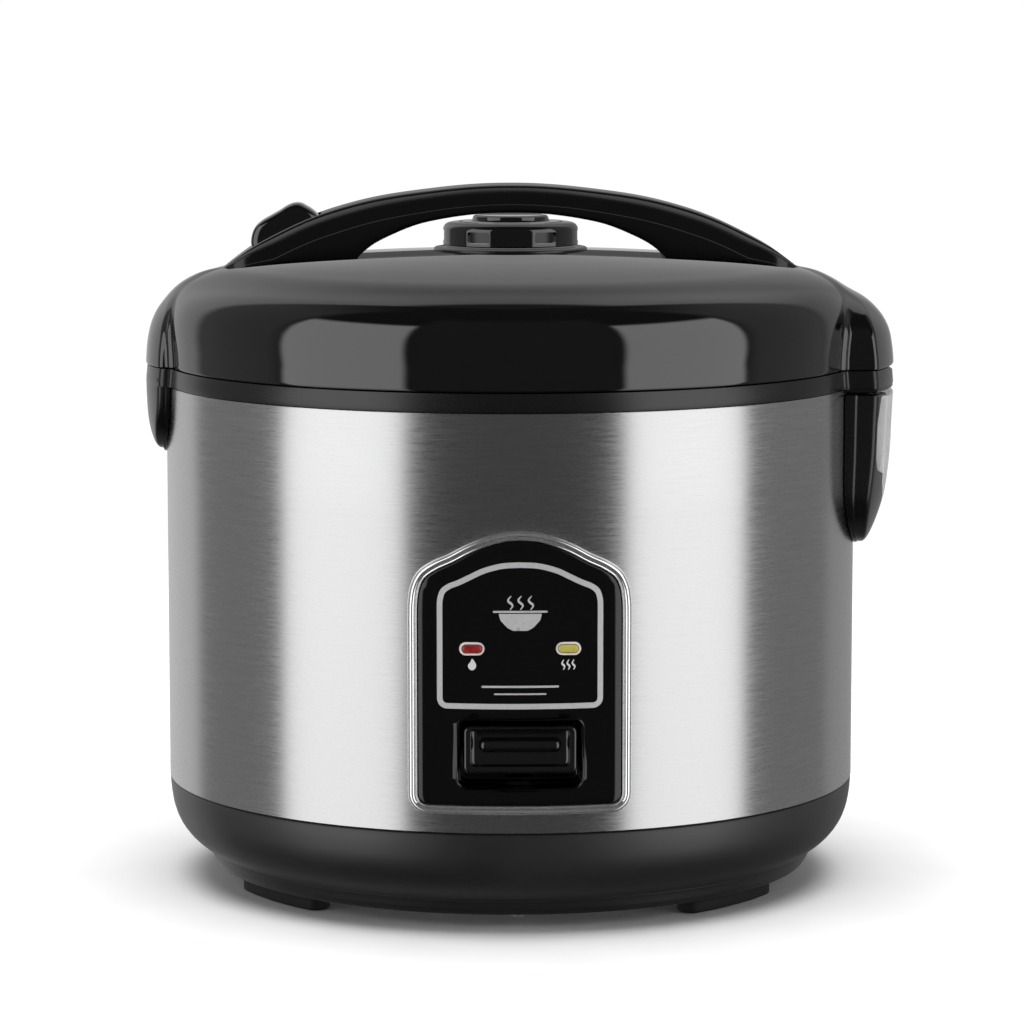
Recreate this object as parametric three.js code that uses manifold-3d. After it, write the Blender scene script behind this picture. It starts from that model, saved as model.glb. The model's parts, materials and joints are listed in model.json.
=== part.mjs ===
// Rice cooker with a hinged lid: a round steel body on a moulded base, a domed lid with an arched
// carrying handle, a steam vent, a release button and latch, a press-down cook lever with its magnetic
// thermostat, a removable inner pot and a clip-on water collector behind the hinge.
// Millimetres, +Z up. The control panel faces -Y, the hinge is at +X and the latch at -X.
// The dimensions below are written about the body's own axis; the whole model is then moved by AXIS_X, so
// that the origin is the middle of the overall box on the surface that the feet stand on.
import * as THREE from "three";
import { mergeVertices } from "three/addons/utils/BufferGeometryUtils.js";
import Module from "manifold-3d";

const wasm = await Module();
wasm.setup();

// ---- driving dimensions ----
const AXIS_X = -3.5; // body axis from the middle of the overall box
const SEG = 40; // sides of each large round part outside
const SEG_IN = 32; // and inside
const GAP = 0.3; // running gap between pieces that touch
const BODY_R = 130; // steel sleeve, outside
const SLEEVE_T = 0.8;
const BASE_Z = 38.2; // steel / base seam
const SLEEVE_TOP = 187.0;
const RIM_Z0 = 187.3;
const RIM_Z1 = 194.1;
const LID_Z0 = 194.4;
const FOOT_H = 4.7;
const FOOT_ANGLES = [-55, 48, 125, 228]; // from the front, degrees
const HINGE = { x: 139.2, z: 188.5, pin: 1.5, hole: 1.8, knuckle: 3.0, neck: 3.0, in: 8.0, out: 15.0, half: 23.6 };
const LATCH = { x: -118.5, z: 208.0, pin: 1.5, hole: 1.8 };
const LEVER = { y: -62, z: 58, pin: 1.5, hole: 1.8 };
const POT_R = 105;
const PLATE_TOP = 88.0; // heating plate
const SCREW_R = 1.5;
const LAMP_X = 16.9;
const LAMP_Z = 104.6;

// ---- small geometry kit ----
// A closed geometry as a solid for joining and cutting.
function solid(geo) {
  const g = geo.index ? geo.toNonIndexed() : geo.clone();
  for (const k of Object.keys(g.attributes)) if (k !== "position") g.deleteAttribute(k);
  const m = mergeVertices(g, 1e-4);
  const idx = m.index.array;
  const tri = [];
  for (let i = 0; i < idx.length; i += 3) {
    const a = idx[i], b = idx[i + 1], c = idx[i + 2];
    if (a !== b && b !== c && a !== c) tri.push(a, b, c);
  }
  const make = (t) =>
    new wasm.Manifold(
      new wasm.Mesh({
        numProp: 3,
        vertProperties: new Float32Array(m.attributes.position.array),
        triVerts: new Uint32Array(t),
      }),
    );
  const s = make(tri);
  if (s.volume() >= 0) return s;
  const back = [];
  for (let i = 0; i < tri.length; i += 3) back.push(tri[i], tri[i + 2], tri[i + 1]);
  return make(back);
}
const sum = (...s) => s.reduce((a, b) => a.add(b));
// Revolves a closed outline of [radius, height] about the body axis. An outline that begins and ends on the
// axis stays as it is; any other is closed on itself. The first side's edge lies on -Y.
function rev(points, seg = SEG) {
  const p = points.map(([r, z]) => new THREE.Vector2(r, z));
  if (points[0][0] !== 0) p.push(p[0].clone());
  const g = new THREE.LatheGeometry(p, seg);
  g.rotateX(Math.PI / 2);
  return solid(g);
}
const disc = (r, z0, z1, seg = SEG) => rev([[0, z0], [r, z0], [r, z1], [0, z1]], seg);
const tube = (r0, r1, z0, z1, seg = SEG) => rev([[r0, z0], [r1, z0], [r1, z1], [r0, z1]], seg);
// A round bar between two points.
function rod(p0, p1, r, seg = 12) {
  const a = new THREE.Vector3(...p0), b = new THREE.Vector3(...p1);
  const g = new THREE.CylinderGeometry(r, r, a.distanceTo(b), seg);
  const q = new THREE.Quaternion().setFromUnitVectors(new THREE.Vector3(0, 1, 0), b.clone().sub(a).normalize());
  g.applyQuaternion(q);
  g.translate((a.x + b.x) / 2, (a.y + b.y) / 2, (a.z + b.z) / 2);
  return solid(g);
}
function box(x0, x1, y0, y1, z0, z1) {
  const g = new THREE.BoxGeometry(x1 - x0, y1 - y0, z1 - z0);
  g.translate((x0 + x1) / 2, (y0 + y1) / 2, (z0 + z1) / 2);
  return solid(g);
}
const shapeOf = (pts) => new THREE.Shape(pts.map(([x, y]) => new THREE.Vector2(x, y)));
const extrude = (pts, depth) => new THREE.ExtrudeGeometry(shapeOf(pts), { depth, bevelEnabled: false, steps: 1 });
// An outline in (x, z) drawn out along Y.
function alongY(pts, y0, y1) {
  const g = extrude(pts, y1 - y0);
  g.rotateX(Math.PI / 2);
  g.translate(0, y1, 0);
  return solid(g);
}
// An outline in (y, z) drawn out along X.
function alongX(pts, x0, x1) {
  const g = extrude(pts, x1 - x0);
  g.applyMatrix4(new THREE.Matrix4().makeBasis(new THREE.Vector3(0, 1, 0), new THREE.Vector3(0, 0, 1), new THREE.Vector3(1, 0, 0)));
  g.translate(x0, 0, 0);
  return solid(g);
}
// An outline in (x, y) drawn out along Z.
function alongZ(pts, z0, z1) {
  const g = extrude(pts, z1 - z0);
  g.translate(0, 0, z0);
  return solid(g);
}
// A stadium outline, w wide and h high, about (cx, cz).
function stadium(cx, cz, w, h, n = 5) {
  const r = h / 2, d = w / 2 - r, out = [];
  for (let i = 0; i <= n; i++) {
    const a = -Math.PI / 2 + (Math.PI * i) / n;
    out.push([cx + d + r * Math.cos(a), cz + r * Math.sin(a)]);
  }
  for (let i = 0; i <= n; i++) {
    const a = Math.PI / 2 + (Math.PI * i) / n;
    out.push([cx - d + r * Math.cos(a), cz + r * Math.sin(a)]);
  }
  return out;
}
// A round bar wound about the Z axis through (cx, cy).
function coil(cx, cy, z0, z1, r, wire, turns, steps = 9) {
  const pts = [];
  const n = Math.round(turns * steps);
  for (let i = 0; i <= n; i++) {
    const a = (2 * Math.PI * turns * i) / n;
    pts.push(new THREE.Vector3(cx + r * Math.cos(a), cy + r * Math.sin(a), z0 + ((z1 - z0) * i) / n));
  }
  const path = new THREE.CatmullRomCurve3(pts);
  const sec = [];
  for (let i = 0; i < 6; i++) sec.push([wire * Math.cos((i * Math.PI) / 3), wire * Math.sin((i * Math.PI) / 3)]);
  return new THREE.ExtrudeGeometry(shapeOf(sec), { steps: n, bevelEnabled: false, extrudePath: path });
}

const model = new THREE.Group();
// Adds one finished piece to the model.
function piece(name, s, color, roughness, metalness = 0, extra = {}) {
  const m = s.getMesh();
  const v = new Float32Array(m.numVert * 3);
  for (let i = 0; i < m.numVert; i++) v.set(m.vertProperties.subarray(i * m.numProp, i * m.numProp + 3), i * 3);
  const g = new THREE.BufferGeometry();
  g.setAttribute("position", new THREE.BufferAttribute(v, 3));
  g.setIndex(new THREE.BufferAttribute(new Uint32Array(m.triVerts), 1));
  g.computeVertexNormals();
  const mesh = new THREE.Mesh(g, new THREE.MeshStandardMaterial({ color, roughness, metalness, flatShading: true, ...extra }));
  mesh.name = name;
  model.add(mesh);
}
const BLACK = 0x111112, CHARCOAL = 0x2a2b2d, STEEL = 0xb9bbbd, CHROME = 0xe4e6e8, ALU = 0xc3c5c7, ZINC = 0xa8a9a6;

// ---- outlines shared by several pieces ----
const LID_OUT = [[129.5, LID_Z0], [129.9, 209.6], [129.1, 217], [127.3, 221.5], [122.6, 226], [108, 230.2], [57, 234], [22, 235.8]];
const LID_IN = [[22, 232.8], [57, 231], [107, 227.2], [121.6, 222.8], [126.4, 212], [126.5, LID_Z0]];
const lidOuterUp = (dz) => rev([[0, 180], [129.5, 180], ...LID_OUT.map(([r, z]) => [r, z + dz]), [0, 236.3 + dz]]);
const lidCavity = rev([[0, 188], [126.5, 188], ...[...LID_IN].reverse(), [0, 234.0]]);
const latchPlan = rod([-77.8, 0, 150], [-77.8, 0, 240], 60, 48);
const hingePlan = rod([44.9, 0, 110], [44.9, 0, 240], 100, 64);
// Control panel outline, inset by i.
const PANEL_HALF = [[32.5, 45.3], [36.5, 46.5], [39.0, 49.2], [39.5, 53], [39.5, 121], [38.5, 127], [35.8, 131.6], [31, 135], [25, 138], [19, 141.6], [12, 144.5], [5, 146]];
function panel(i = 0) {
  const sx = (39.5 - i) / 39.5, cz = 95.75, sz = (50.45 - i) / 50.45;
  const half = PANEL_HALF.map(([x, z]) => [x * sx, cz + (z - cz) * sz]);
  return [...half, [0, cz + 50.45 * sz], ...[...half].reverse().map(([x, z]) => [-x, z])];
}

// ---- base ----
const polar = (deg, r) => [r * Math.sin((deg * Math.PI) / 180), -r * Math.cos((deg * Math.PI) / 180)];
const SCREW_ANGLES = [0, 90, 180, 270];
let base = rev([
  [101, 5.0], [112.4, 5.2], [115, 9.7], [121.8, 14.2], [127.4, 23.2], [129, 29.2], [129.9, BASE_Z - GAP],
  [126.8, BASE_Z - GAP], [124.4, 24], [114.2, 12.6], [111.5, 8.2], [101, 8.2],
]);
let bottom = disc(109, 8.5, 9.9, 32);
for (const a of SCREW_ANGLES) {
  const [x, y] = polar(a, 105);
  const hole = rod([x, y, 0], [x, y, 20], SCREW_R + GAP, 10);
  base = base.subtract(hole);
  bottom = bottom.subtract(hole);
}
for (const i of [-2, -1, 0, 1, 2]) bottom = bottom.subtract(box(-26, 26, i * 14 - 2, i * 14 + 2, 0, 20));
piece("base_bowl", base, CHARCOAL, 0.45);
piece("bottom_plate", bottom, ZINC, 0.4, 0.9);
FOOT_ANGLES.forEach((deg, i) => {
  const pts = [], r0 = 99.5, r1 = 110, half = 11.2, n = 5;
  for (let k = 0; k <= n; k++) pts.push(polar(deg - half + (2 * half * k) / n, r1));
  const [ex, ey] = polar(deg + half + 2.0, (r0 + r1) / 2), [fx, fy] = polar(deg - half - 2.0, (r0 + r1) / 2);
  pts.push([ex, ey]);
  for (let k = n; k >= 0; k--) pts.push(polar(deg - half + (2 * half * k) / n, r0));
  pts.push([fx, fy]);
  piece("foot_" + (i + 1), alongZ(pts, 0, FOOT_H), 0x1b1b1c, 0.8);
});
SCREW_ANGLES.forEach((deg, i) => {
  const [x, y] = polar(deg, 105);
  piece("base_screw_" + (i + 1), sum(rod([x, y, 3.0], [x, y, 4.7], 3, 10), rod([x, y, 4.5], [x, y, 14], SCREW_R, 10)), ZINC, 0.35, 1);
});

// ---- steel sleeve, cut for the panel tray, the lamps, and the power inlet ----
let sleeve = tube(BODY_R - SLEEVE_T, BODY_R, BASE_Z, SLEEVE_TOP)
  .subtract(box(-23.1, 23.1, -140, -100, 53.9, 80.4))
  .subtract(box(-22.5, 22.5, -140, -100, 99, 110))
  .subtract(box(-14, 14, 100, 140, 48.4, 71.6));
piece("outer_shell", sleeve, STEEL, 0.32, 1);

// ---- rim ring, with the latch tongue and the hinge block moulded on ----
const below = disc(BODY_R + GAP, 100, RIM_Z0 - 0.02);
const above = disc(128, RIM_Z0 - 0.02, 240);
const tongueU = [];
for (let k = 0; k <= 8; k++) {
  const a = Math.PI + (Math.PI * k) / 8;
  tongueU.push([27.5 * Math.cos(a), 188.2 + 27.5 * Math.sin(a)]);
}
tongueU.push([27.5, RIM_Z1], [-27.5, RIM_Z1]);
const tongue = alongY([[-126, 194.1], [-137.8, RIM_Z1], [-137.9, 183.2], [-136.9, 171.7], [-134.7, 164.9], [-130.9, 160.7], [-126, 160.7]], -28, 28)
  .intersect(alongX(tongueU, -145, -110))
  .intersect(latchPlan)
  .subtract(below)
  .subtract(above);
const hingeAxis = (r, y0 = -60, y1 = 60, seg = 16) => rod([HINGE.x, y0, HINGE.z], [HINGE.x, y1, HINGE.z], r, seg);
const block = box(110, 150, -44.5, 44.5, 185.9, RIM_Z1)
  .intersect(hingePlan)
  .subtract(below)
  .subtract(above)
  .subtract(box(HINGE.x - HINGE.neck - GAP, 150, -HINGE.out - 0.4, HINGE.out + 0.4, 180, 200))
  .subtract(box(HINGE.x, 150, -60, 60, HINGE.z, 200).subtract(hingeAxis(RIM_Z1 - HINGE.z, -60, 60, 32)))
  .subtract(hingeAxis(HINGE.hole, -HINGE.half - 0.4, HINGE.half + 0.4));
const ring = rev([
  [130.2, RIM_Z0], [129.6, RIM_Z1], [120, RIM_Z1], [119.4, 188.6], [112.6, 188.6], [112.6, 183.5], [128.8, 183.5], [128.8, RIM_Z0],
]).subtract(box(-127.2, -116.2, -6.8, 6.8, 180, 200));
piece("rim_ring", sum(ring, tongue, block), BLACK, 0.35);
piece("latch_keeper", box(-117.2, -113.4, -10, 10, 181.2, 183.2).subtract(disc(112.9, 170, 190)), ZINC, 0.35, 1);

// ---- hinge pin and lid spring ----
piece("hinge_pin", hingeAxis(HINGE.pin, -HINGE.half, HINGE.half), ZINC, 0.3, 1);
const springGeo = coil(0, 0, -6.8, 6.8, 2.35, 0.42, 4, 8);
springGeo.rotateX(Math.PI / 2);
springGeo.translate(HINGE.x, 0, HINGE.z);
piece("hinge_spring", solid(springGeo), ZINC, 0.3, 1);

// ---- collector housing and water collector, behind the hinge ----
const cupU = (g, top) => {
  const w = 31.5 + g, zb = 142 - g;
  return [[-w, top], [-w, 160], [-w * 0.93, 152], [-w * 0.7, 145.5], [-w * 0.35, zb + 0.8], [0, zb], [w * 0.35, zb + 0.8], [w * 0.7, 145.5], [w * 0.93, 152], [w, 160], [w, top]];
};
const housingProfile = [[126, 185.6], [144.9, 185.6], [144.3, 174.3], [143.7, 160.5], [142, 146.7], [139.4, 137.5], [136.5, 130.6], [133.1, 126.4], [126, 126.4]];
const housingU = [[-44.5, 185.6], [-44.5, 152], [-40, 139], [-31, 131], [-16, 126.4], [16, 126.4], [31, 131], [40, 139], [44.5, 152], [44.5, 185.6]];
const housing = alongY(housingProfile, -45, 45)
  .intersect(alongX(housingU, 110, 160))
  .intersect(hingePlan)
  .subtract(disc(BODY_R + GAP, 100, 200))
  .subtract(alongX(cupU(0.4, 190), 134.4, 170));
piece("collector_housing", housing, BLACK, 0.35);
const cup = alongY([[134.8, 185.2], [144.9, 185.2], [144.3, 174.3], [143.7, 160.5], [142, 146.7], [140.4, 141], [134.8, 141]], -45, 45)
  .intersect(alongX(cupU(0, 185.2), 110, 160))
  .intersect(hingePlan)
  .subtract(
    alongY([[136.2, 190], [143.4, 190], [142.8, 174.3], [142.2, 160.5], [140.6, 147.5], [139.6, 143.8], [136.2, 143.8]], -29.8, 29.8)
      .intersect(alongX([[-29.8, 190], [-29.8, 160.4], [-27.5, 153], [-20.5, 147], [-10, 143.9], [10, 143.9], [20.5, 147], [27.5, 153], [29.8, 160.4], [29.8, 190]], 110, 160))
      .intersect(rod([44.9, 0, 110], [44.9, 0, 240], 98.4, 64)),
  );
piece("water_collector", cup, 0xe8edf0, 0.12, 0, { transparent: true, opacity: 0.35 });

// ---- control panel: bezel, fascia with the lever's tray, lenses and lamps ----
const bezelShell = tube(BODY_R + GAP, 133.5, 30, 160);
const fasciaShell = tube(BODY_R + GAP, 132.3, 30, 160);
const frontHalf = box(-60, 60, -150, -90, 30, 160);
piece("panel_bezel", bezelShell.intersect(alongY(panel(0), -150, -90)).subtract(alongY(panel(3.2), -150, -90)), CHROME, 0.08, 1);
const tray = box(-22.7, 22.7, -131.2, -116.5, 54.3, 80)
  .add(box(-22.7, 22.7, -134, -125, 54.3, 80).intersect(fasciaShell))
  .subtract(box(-21, 21, -140, -118, 55.5, 78.4))
  .subtract(box(-5, 5, -120, -110, 56, 69.5))
  .intersect(disc(132.3, 30, 160));
const lampHole = (x) => alongY(stadium(x, LAMP_Z, 9.1, 4.8), -140, -127);
const fascia = fasciaShell
  .intersect(frontHalf)
  .intersect(alongY(panel(3.5), -150, -90))
  .subtract(box(-21, 21, -150, -100, 55.5, 78.4))
  .subtract(lampHole(-LAMP_X))
  .subtract(lampHole(LAMP_X))
  .add(tray)
  .add(rod([0, -131.4, LAMP_Z], [0, -122.4, LAMP_Z], 2.2, 10));
piece("panel_fascia", fascia, BLACK, 0.12);
const lens = (x) => alongY(stadium(x, LAMP_Z, 8.5, 4.2), -131.8, -128.2);
piece("cook_lens", lens(-LAMP_X), 0xc8161b, 0.15, 0, { transparent: true, opacity: 0.8 });
piece("warm_lens", lens(LAMP_X), 0xe8c81e, 0.15, 0, { transparent: true, opacity: 0.8 });
piece("indicator_board", box(-26, 26, -122, -120.4, 96.5, 112.5), 0x2f6b3a, 0.6);
piece("cook_lamp", rod([-LAMP_X, -127.8, LAMP_Z], [-LAMP_X, -122.3, LAMP_Z], 2.6, 10), 0xe6d8c8, 0.2);
piece("warm_lamp", rod([LAMP_X, -127.8, LAMP_Z], [LAMP_X, -122.3, LAMP_Z], 2.6, 10), 0xe6d8c8, 0.2);

// ---- cook lever: paddle, arm, pivot bracket and switch ----
piece("cook_paddle", alongX([[-127.4, 60.2], [-131.6, 60.2], [-133.2, 61.8], [-133.2, 75.6], [-131.6, 77.2], [-127.4, 77.2]], -19.9, 19.9), BLACK, 0.15);
const arm = alongX(
  [[4, 47.2], [4, 51], [-44, 51], [-58, 62], [-66, 62.5], [-112, 66.5], [-127.1, 66.5], [-127.1, 62.5], [-112, 62.5], [-66, 54.5], [-58, 54], [-44, 47.2]],
  -3.8,
  3.8,
).subtract(rod([-10, LEVER.y, LEVER.z], [10, LEVER.y, LEVER.z], LEVER.hole, 12));
piece("cook_lever_arm", arm, ZINC, 0.4, 0.9);
const cheek = (x0) => box(x0, x0 + 1.5, -69, -45, 52, 75.7);
const bracket = sum(box(-12, 12, -69, -45, 74.3, 75.7), cheek(-6), cheek(4.5)).subtract(
  rod([-10, LEVER.y, LEVER.z], [10, LEVER.y, LEVER.z], LEVER.hole, 12),
);
piece("lever_bracket", bracket, ZINC, 0.4, 0.9);
piece("lever_pivot_pin", rod([-8.5, LEVER.y, LEVER.z], [8.5, LEVER.y, LEVER.z], LEVER.pin, 12), ZINC, 0.3, 1);
piece("microswitch", sum(box(6.4, 12.9, -58, -46, 60, 70), box(8.4, 10.9, -56.5, -54.5, 69.8, 73.9)), 0x202022, 0.5);

// ---- inner liner, warming band, heating plate and pot ----
piece("inner_liner", rev([[70, 72], [109.6, 72], [109.6, 182], [112.3, 182], [112.3, 183.2], [108.4, 183.2], [108.4, 73.2], [70, 73.2]], SEG_IN), ALU, 0.4, 0.9);
piece("warm_heater_band", tube(109.95, 111.95, 95, 125, SEG_IN), 0x8a7f6a, 0.7);
let heater = rev([[19, 76], [82, 76], [82, 86.5], [60, PLATE_TOP], [19, PLATE_TOP]], SEG_IN);
for (const a of [60, 180, 300]) {
  const [x, y] = polar(a, 76);
  heater = heater.add(rod([x, y, 73.5], [x, y, 77], 4, 10));
}
piece("heating_plate", heater, ALU, 0.45, 0.9);
piece(
  "inner_pot",
  rev([
    [0, 88.3], [60, 88.3], [85, 91], [97, 97.5], [103.5, 108], [POT_R, 120], [POT_R, 184.3], [111.4, 184.3], [111.4, 186.5], [103.4, 186.5],
    [103.4, 120], [102, 108.8], [96, 99], [84.5, 92.6], [60, 89.9], [0, 89.9],
  ], SEG_IN),
  0x6f7173,
  0.35,
  0.6,
);

// ---- magnetic thermostat in the middle of the heating plate ----
piece("thermostat_housing", rev([[3.5, 58], [18.5, 58], [18.5, 74.5], [24, 74.5], [24, 75.7], [17.3, 75.7], [17.3, 59.2], [3.5, 59.2]], 20), ZINC, 0.4, 0.9);
piece("thermostat_cap", rev([[0, 88.0], [16.0, 88.0], [16.5, 87.4], [16.5, 72], [15.6, 72], [15.6, 86.5], [0, 86.5]], 20), ALU, 0.35, 0.9);
piece("thermostat_ferrite", disc(11, 77.5, 86.2, 16), 0x3b3b3e, 0.5);
piece("thermostat_magnet", sum(disc(11, 65.8, 69.8, 16), rod([0, 0, 51.3], [0, 0, 66.5], 2.5, 12)), 0x47474a, 0.5, 0.3);
piece("thermostat_spring", solid(coil(0, 0, 60.2, 85.6, 13.6, 0.6, 4, 10)), ZINC, 0.3, 1);
piece("thermal_fuse", rod([-48, 30, 73.2], [-26, 30, 73.2], 2.4, 10), 0xd8d4c8, 0.4);

// ---- power inlet and terminal block ----
const inlet = box(-17, 17, 124, 133.5, 45, 75)
  .subtract(disc(BODY_R + GAP, 0, 200))
  .add(box(-13.6, 13.6, 113, 132, 48.8, 71.2))
  .subtract(alongY([[-11.5, 53], [11.5, 53], [11.5, 63], [7.5, 67.5], [-7.5, 67.5], [-11.5, 63]], 120.5, 140))
  .subtract(rod([-7, 100, 58], [-7, 140, 58], 1.8, 10))
  .subtract(rod([7, 100, 58], [7, 140, 58], 1.8, 10))
  .subtract(rod([0, 100, 63], [0, 140, 63], 1.8, 10));
piece("power_inlet", inlet, BLACK, 0.45);
const pin = (x, z) => rod([x, 107, z], [x, 128, z], 1.5, 10);
piece("inlet_pin_live", pin(-7, 58), CHROME, 0.2, 1);
piece("inlet_pin_neutral", pin(7, 58), CHROME, 0.2, 1);
piece("inlet_pin_earth", pin(0, 63), CHROME, 0.2, 1);
piece("terminal_block", box(-46, -14, 60, 76, 10.2, 24).subtract(box(-43, -33, 63, 73, 18, 30)).subtract(box(-27, -17, 63, 73, 18, 30)), 0xd9d3c4, 0.6);

// ---- lid: cover, inner frame, inner plate and gasket ----
const archOf = (w, zTop) => [[-w, LID_Z0], [-w, 206], [-w * 0.86, 214], [-w * 0.55, 221.5], [0, zTop], [w * 0.55, 221.5], [w * 0.86, 214], [w, 206], [w, LID_Z0]];
let cover = rev([...LID_OUT, ...LID_IN]);
const latchLug = alongY([[-110, 229.3], [-115.6, 227.6], [-124.7, 223], [-133.8, 215.5], [-137, 203.7], [-137.8, LID_Z0], [-110, LID_Z0]], -28, 28)
  .intersect(alongX(archOf(27.5, 229.5), -145, -100))
  .intersect(latchPlan)
  .subtract(lidCavity);
const hingeLug = alongY([[110, 229.2], [115.7, 227.4], [124.8, 223.2], [129.4, 221], [134, 218.7], [138.5, 214.9], [143.2, 207.3], [144.9, LID_Z0], [110, LID_Z0]], -45, 45)
  .intersect(alongX(archOf(44.5, 229.5), 100, 150))
  .intersect(hingePlan)
  .subtract(lidCavity);
cover = sum(cover, latchLug, hingeLug);
for (const s of [-1, 1]) {
  const y0 = s > 0 ? HINGE.in : -HINGE.out, y1 = s > 0 ? HINGE.out : -HINGE.in;
  cover = cover
    .add(rod([HINGE.x, y0, HINGE.z], [HINGE.x, y1, HINGE.z], HINGE.knuckle, 16))
    .add(box(HINGE.x - HINGE.neck, HINGE.x + HINGE.neck, y0, y1, HINGE.z, LID_Z0 + 1).intersect(hingePlan));
}
cover = cover.subtract(hingeAxis(HINGE.hole, -25, 25));
const LID_SCREWS = [[45, 116], [225, 116]];
for (const [deg, r] of LID_SCREWS) {
  const [x, y] = polar(deg, r);
  cover = cover.add(rod([x, y, 198], [x, y, 225.2], 4, 10)).subtract(rod([x, y, 190], [x, y, 212], 1.8, 10));
}
const HANDLE_SCREWS = [[-64, 227.2], [80, 226.0]];
for (const [x] of HANDLE_SCREWS) cover = cover.subtract(rod([x, 0, 220], [x, 0, 240], 1.9, 10));
cover = cover.subtract(rod([-85, 0, 220], [-85, 0, 240], 2.6, 12));
piece("lid_cover", cover, BLACK, 0.1);
let frame = rev([[9, 194.6], [96, 194.6], [98, 190.3], [111, 190.3], [112.2, 194.6], [126.1, 194.6], [126.1, 197.6], [9, 197.6]])
  .add(box(-122, -114, 5.5, 8.5, 197, 212.4))
  .add(box(-122, -114, -8.5, -5.5, 197, 212.4))
  .subtract(rod([LATCH.x, -10, LATCH.z], [LATCH.x, 10, LATCH.z], LATCH.hole, 12))
  .subtract(box(-125, -118.6, -5.45, 5.45, 190, 200));
for (const [deg, r] of LID_SCREWS) {
  const [x, y] = polar(deg, r);
  frame = frame.subtract(rod([x, y, 190], [x, y, 200], 1.8, 10));
}
piece("lid_inner_frame", frame, CHARCOAL, 0.5);
let plate = disc(100.6, 189.0, 189.9, SEG_IN);
for (const a of [0, 72, 144, 216, 288]) {
  const [x, y] = polar(a, 34);
  plate = plate.subtract(rod([x, y, 180], [x, y, 200], 2.2, 8));
}
piece("inner_lid_plate", plate, ALU, 0.35, 0.9);
piece("lid_gasket", tube(101.0, 110.6, 186.9, 190.0, SEG_IN), 0xd9d9d6, 0.7);
LID_SCREWS.forEach(([deg, r], i) => {
  const [x, y] = polar(deg, r);
  piece("lid_screw_" + (i + 1), sum(rod([x, y, 192.6], [x, y, 194.3], 2.8, 10), rod([x, y, 194], [x, y, 210], SCREW_R, 10)), ZINC, 0.35, 1);
});

// ---- carrying handle ----
const HANDLE_TOP = [[26, 259.8], [49, 256.6], [63.8, 253], [75, 249.2], [86, 244.2], [97.5, 238], [108.4, 230.0]];
const HANDLE_UNDER = [[58.6, 226], [58.2, 232.6], [55.6, 236.4], [51.5, 239.6], [44, 243.4], [35, 246.9], [25, 249.1], [15, 250.5]];
const handleOutline = [
  ...[...HANDLE_TOP].reverse().map(([x, z]) => [-x, z]), [-10, 261.4], [10, 261.4], ...HANDLE_TOP, [108.4, 226],
  ...HANDLE_UNDER, [0, 251.2], ...[...HANDLE_UNDER].reverse().map(([x, z]) => [-x, z]), [-108.4, 226],
];
const pocket = [[-98.2, 262], [-98.2, 233.2], [-97.6, 232.0], [-96.6, 231.75], [-72.2, 243.2], [-71.3, 245], [-71.3, 262]];
let handle = alongY(handleOutline, -17, 17)
  .subtract(lidOuterUp(0.35))
  .subtract(alongY(pocket, -10.4, 10.4))
  .subtract(rod([-85, 0, 220], [-85, 0, 244], 4.4, 12));
for (const [x] of HANDLE_SCREWS) handle = handle.subtract(rod([x, 0, 225], [x, 0, 243.4], 1.9, 10));
piece("handle", handle, BLACK, 0.3);
HANDLE_SCREWS.forEach(([x, z], i) => {
  piece("handle_screw_" + (i + 1), sum(rod([x, 0, z], [x, 0, z + 2.2], 3, 10), rod([x, 0, z + 2], [x, 0, 243], SCREW_R, 10)), ZINC, 0.35, 1);
});

// ---- release button, its spring, and the latch hook ----
const button = alongY(
  [[-97.7, 238.2], [-96.9, 244.6], [-93.9, 247.6], [-87.1, 251.4], [-82.5, 254], [-79.1, 254.4], [-75, 252.1], [-71.9, 249.5], [-71.9, 247.1], [-96.4, 235.7], [-97.7, 236.2]],
  -10,
  10,
).add(rod([-85, 0, 225.6], [-85, 0, 243], 2, 12));
piece("release_button", button, BLACK, 0.3);
piece("button_spring", solid(coil(-85, 0, 233.0, 239.8, 3.2, 0.45, 3, 8)), ZINC, 0.3, 1);
const hook = alongY(
  [[-122.5, 178], [-117.9, 178], [-117.9, 180.9], [-119.9, 180.9], [-119.9, 203.4], [-114.6, 205.6], [-83, 221.2], [-83, 225.2], [-115, 212.4], [-120.5, 212.2], [-122.5, 209.8]],
  -5,
  5,
).subtract(rod([LATCH.x, -10, LATCH.z], [LATCH.x, 10, LATCH.z], LATCH.hole, 12));
piece("latch_hook", hook, 0x303033, 0.5);
piece("latch_pin", rod([LATCH.x, -8.3, LATCH.z], [LATCH.x, 8.3, LATCH.z], LATCH.pin, 12), ZINC, 0.3, 1);

// ---- steam vent ----
piece("vent_base", rev([[10.5, 198], [13, 198], [13, 230], [21.5, 230], [21.5, 236.2], [29, 236.2], [29, 237.6], [28, 238.1], [19, 238.1], [19, 233], [10.5, 233]], 24), BLACK, 0.3);
let cap = rev([[0, 249.8], [13.6, 249.8], [14.4, 249.2], [14.6, 247.6], [24.2, 246.9], [25.5, 245.8], [25.5, 238.5], [23.4, 238.5], [23.4, 245.0], [12.4, 245.4], [12.4, 247.8], [0, 247.8]], 24);
for (let k = 0; k < 3; k++) {
  const g = new THREE.BoxGeometry(2, 5, 12.6);
  g.translate(17.2, 0, 240.4);
  g.rotateZ((k * 2 * Math.PI) / 3 + 0.4);
  cap = cap.add(solid(g));
}
for (let k = 0; k < 6; k++) {
  const g = new THREE.BoxGeometry(8, 9.4, 4.4);
  g.translate(25.5, 0, 242.2);
  g.rotateZ((k * Math.PI) / 3 + Math.PI / 6);
  cap = cap.subtract(solid(g));
}
piece("steam_vent_cap", cap, BLACK, 0.3);

model.position.x = AXIS_X;
const riceCooker = new THREE.Group();
riceCooker.add(model);
export default riceCooker;
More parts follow.
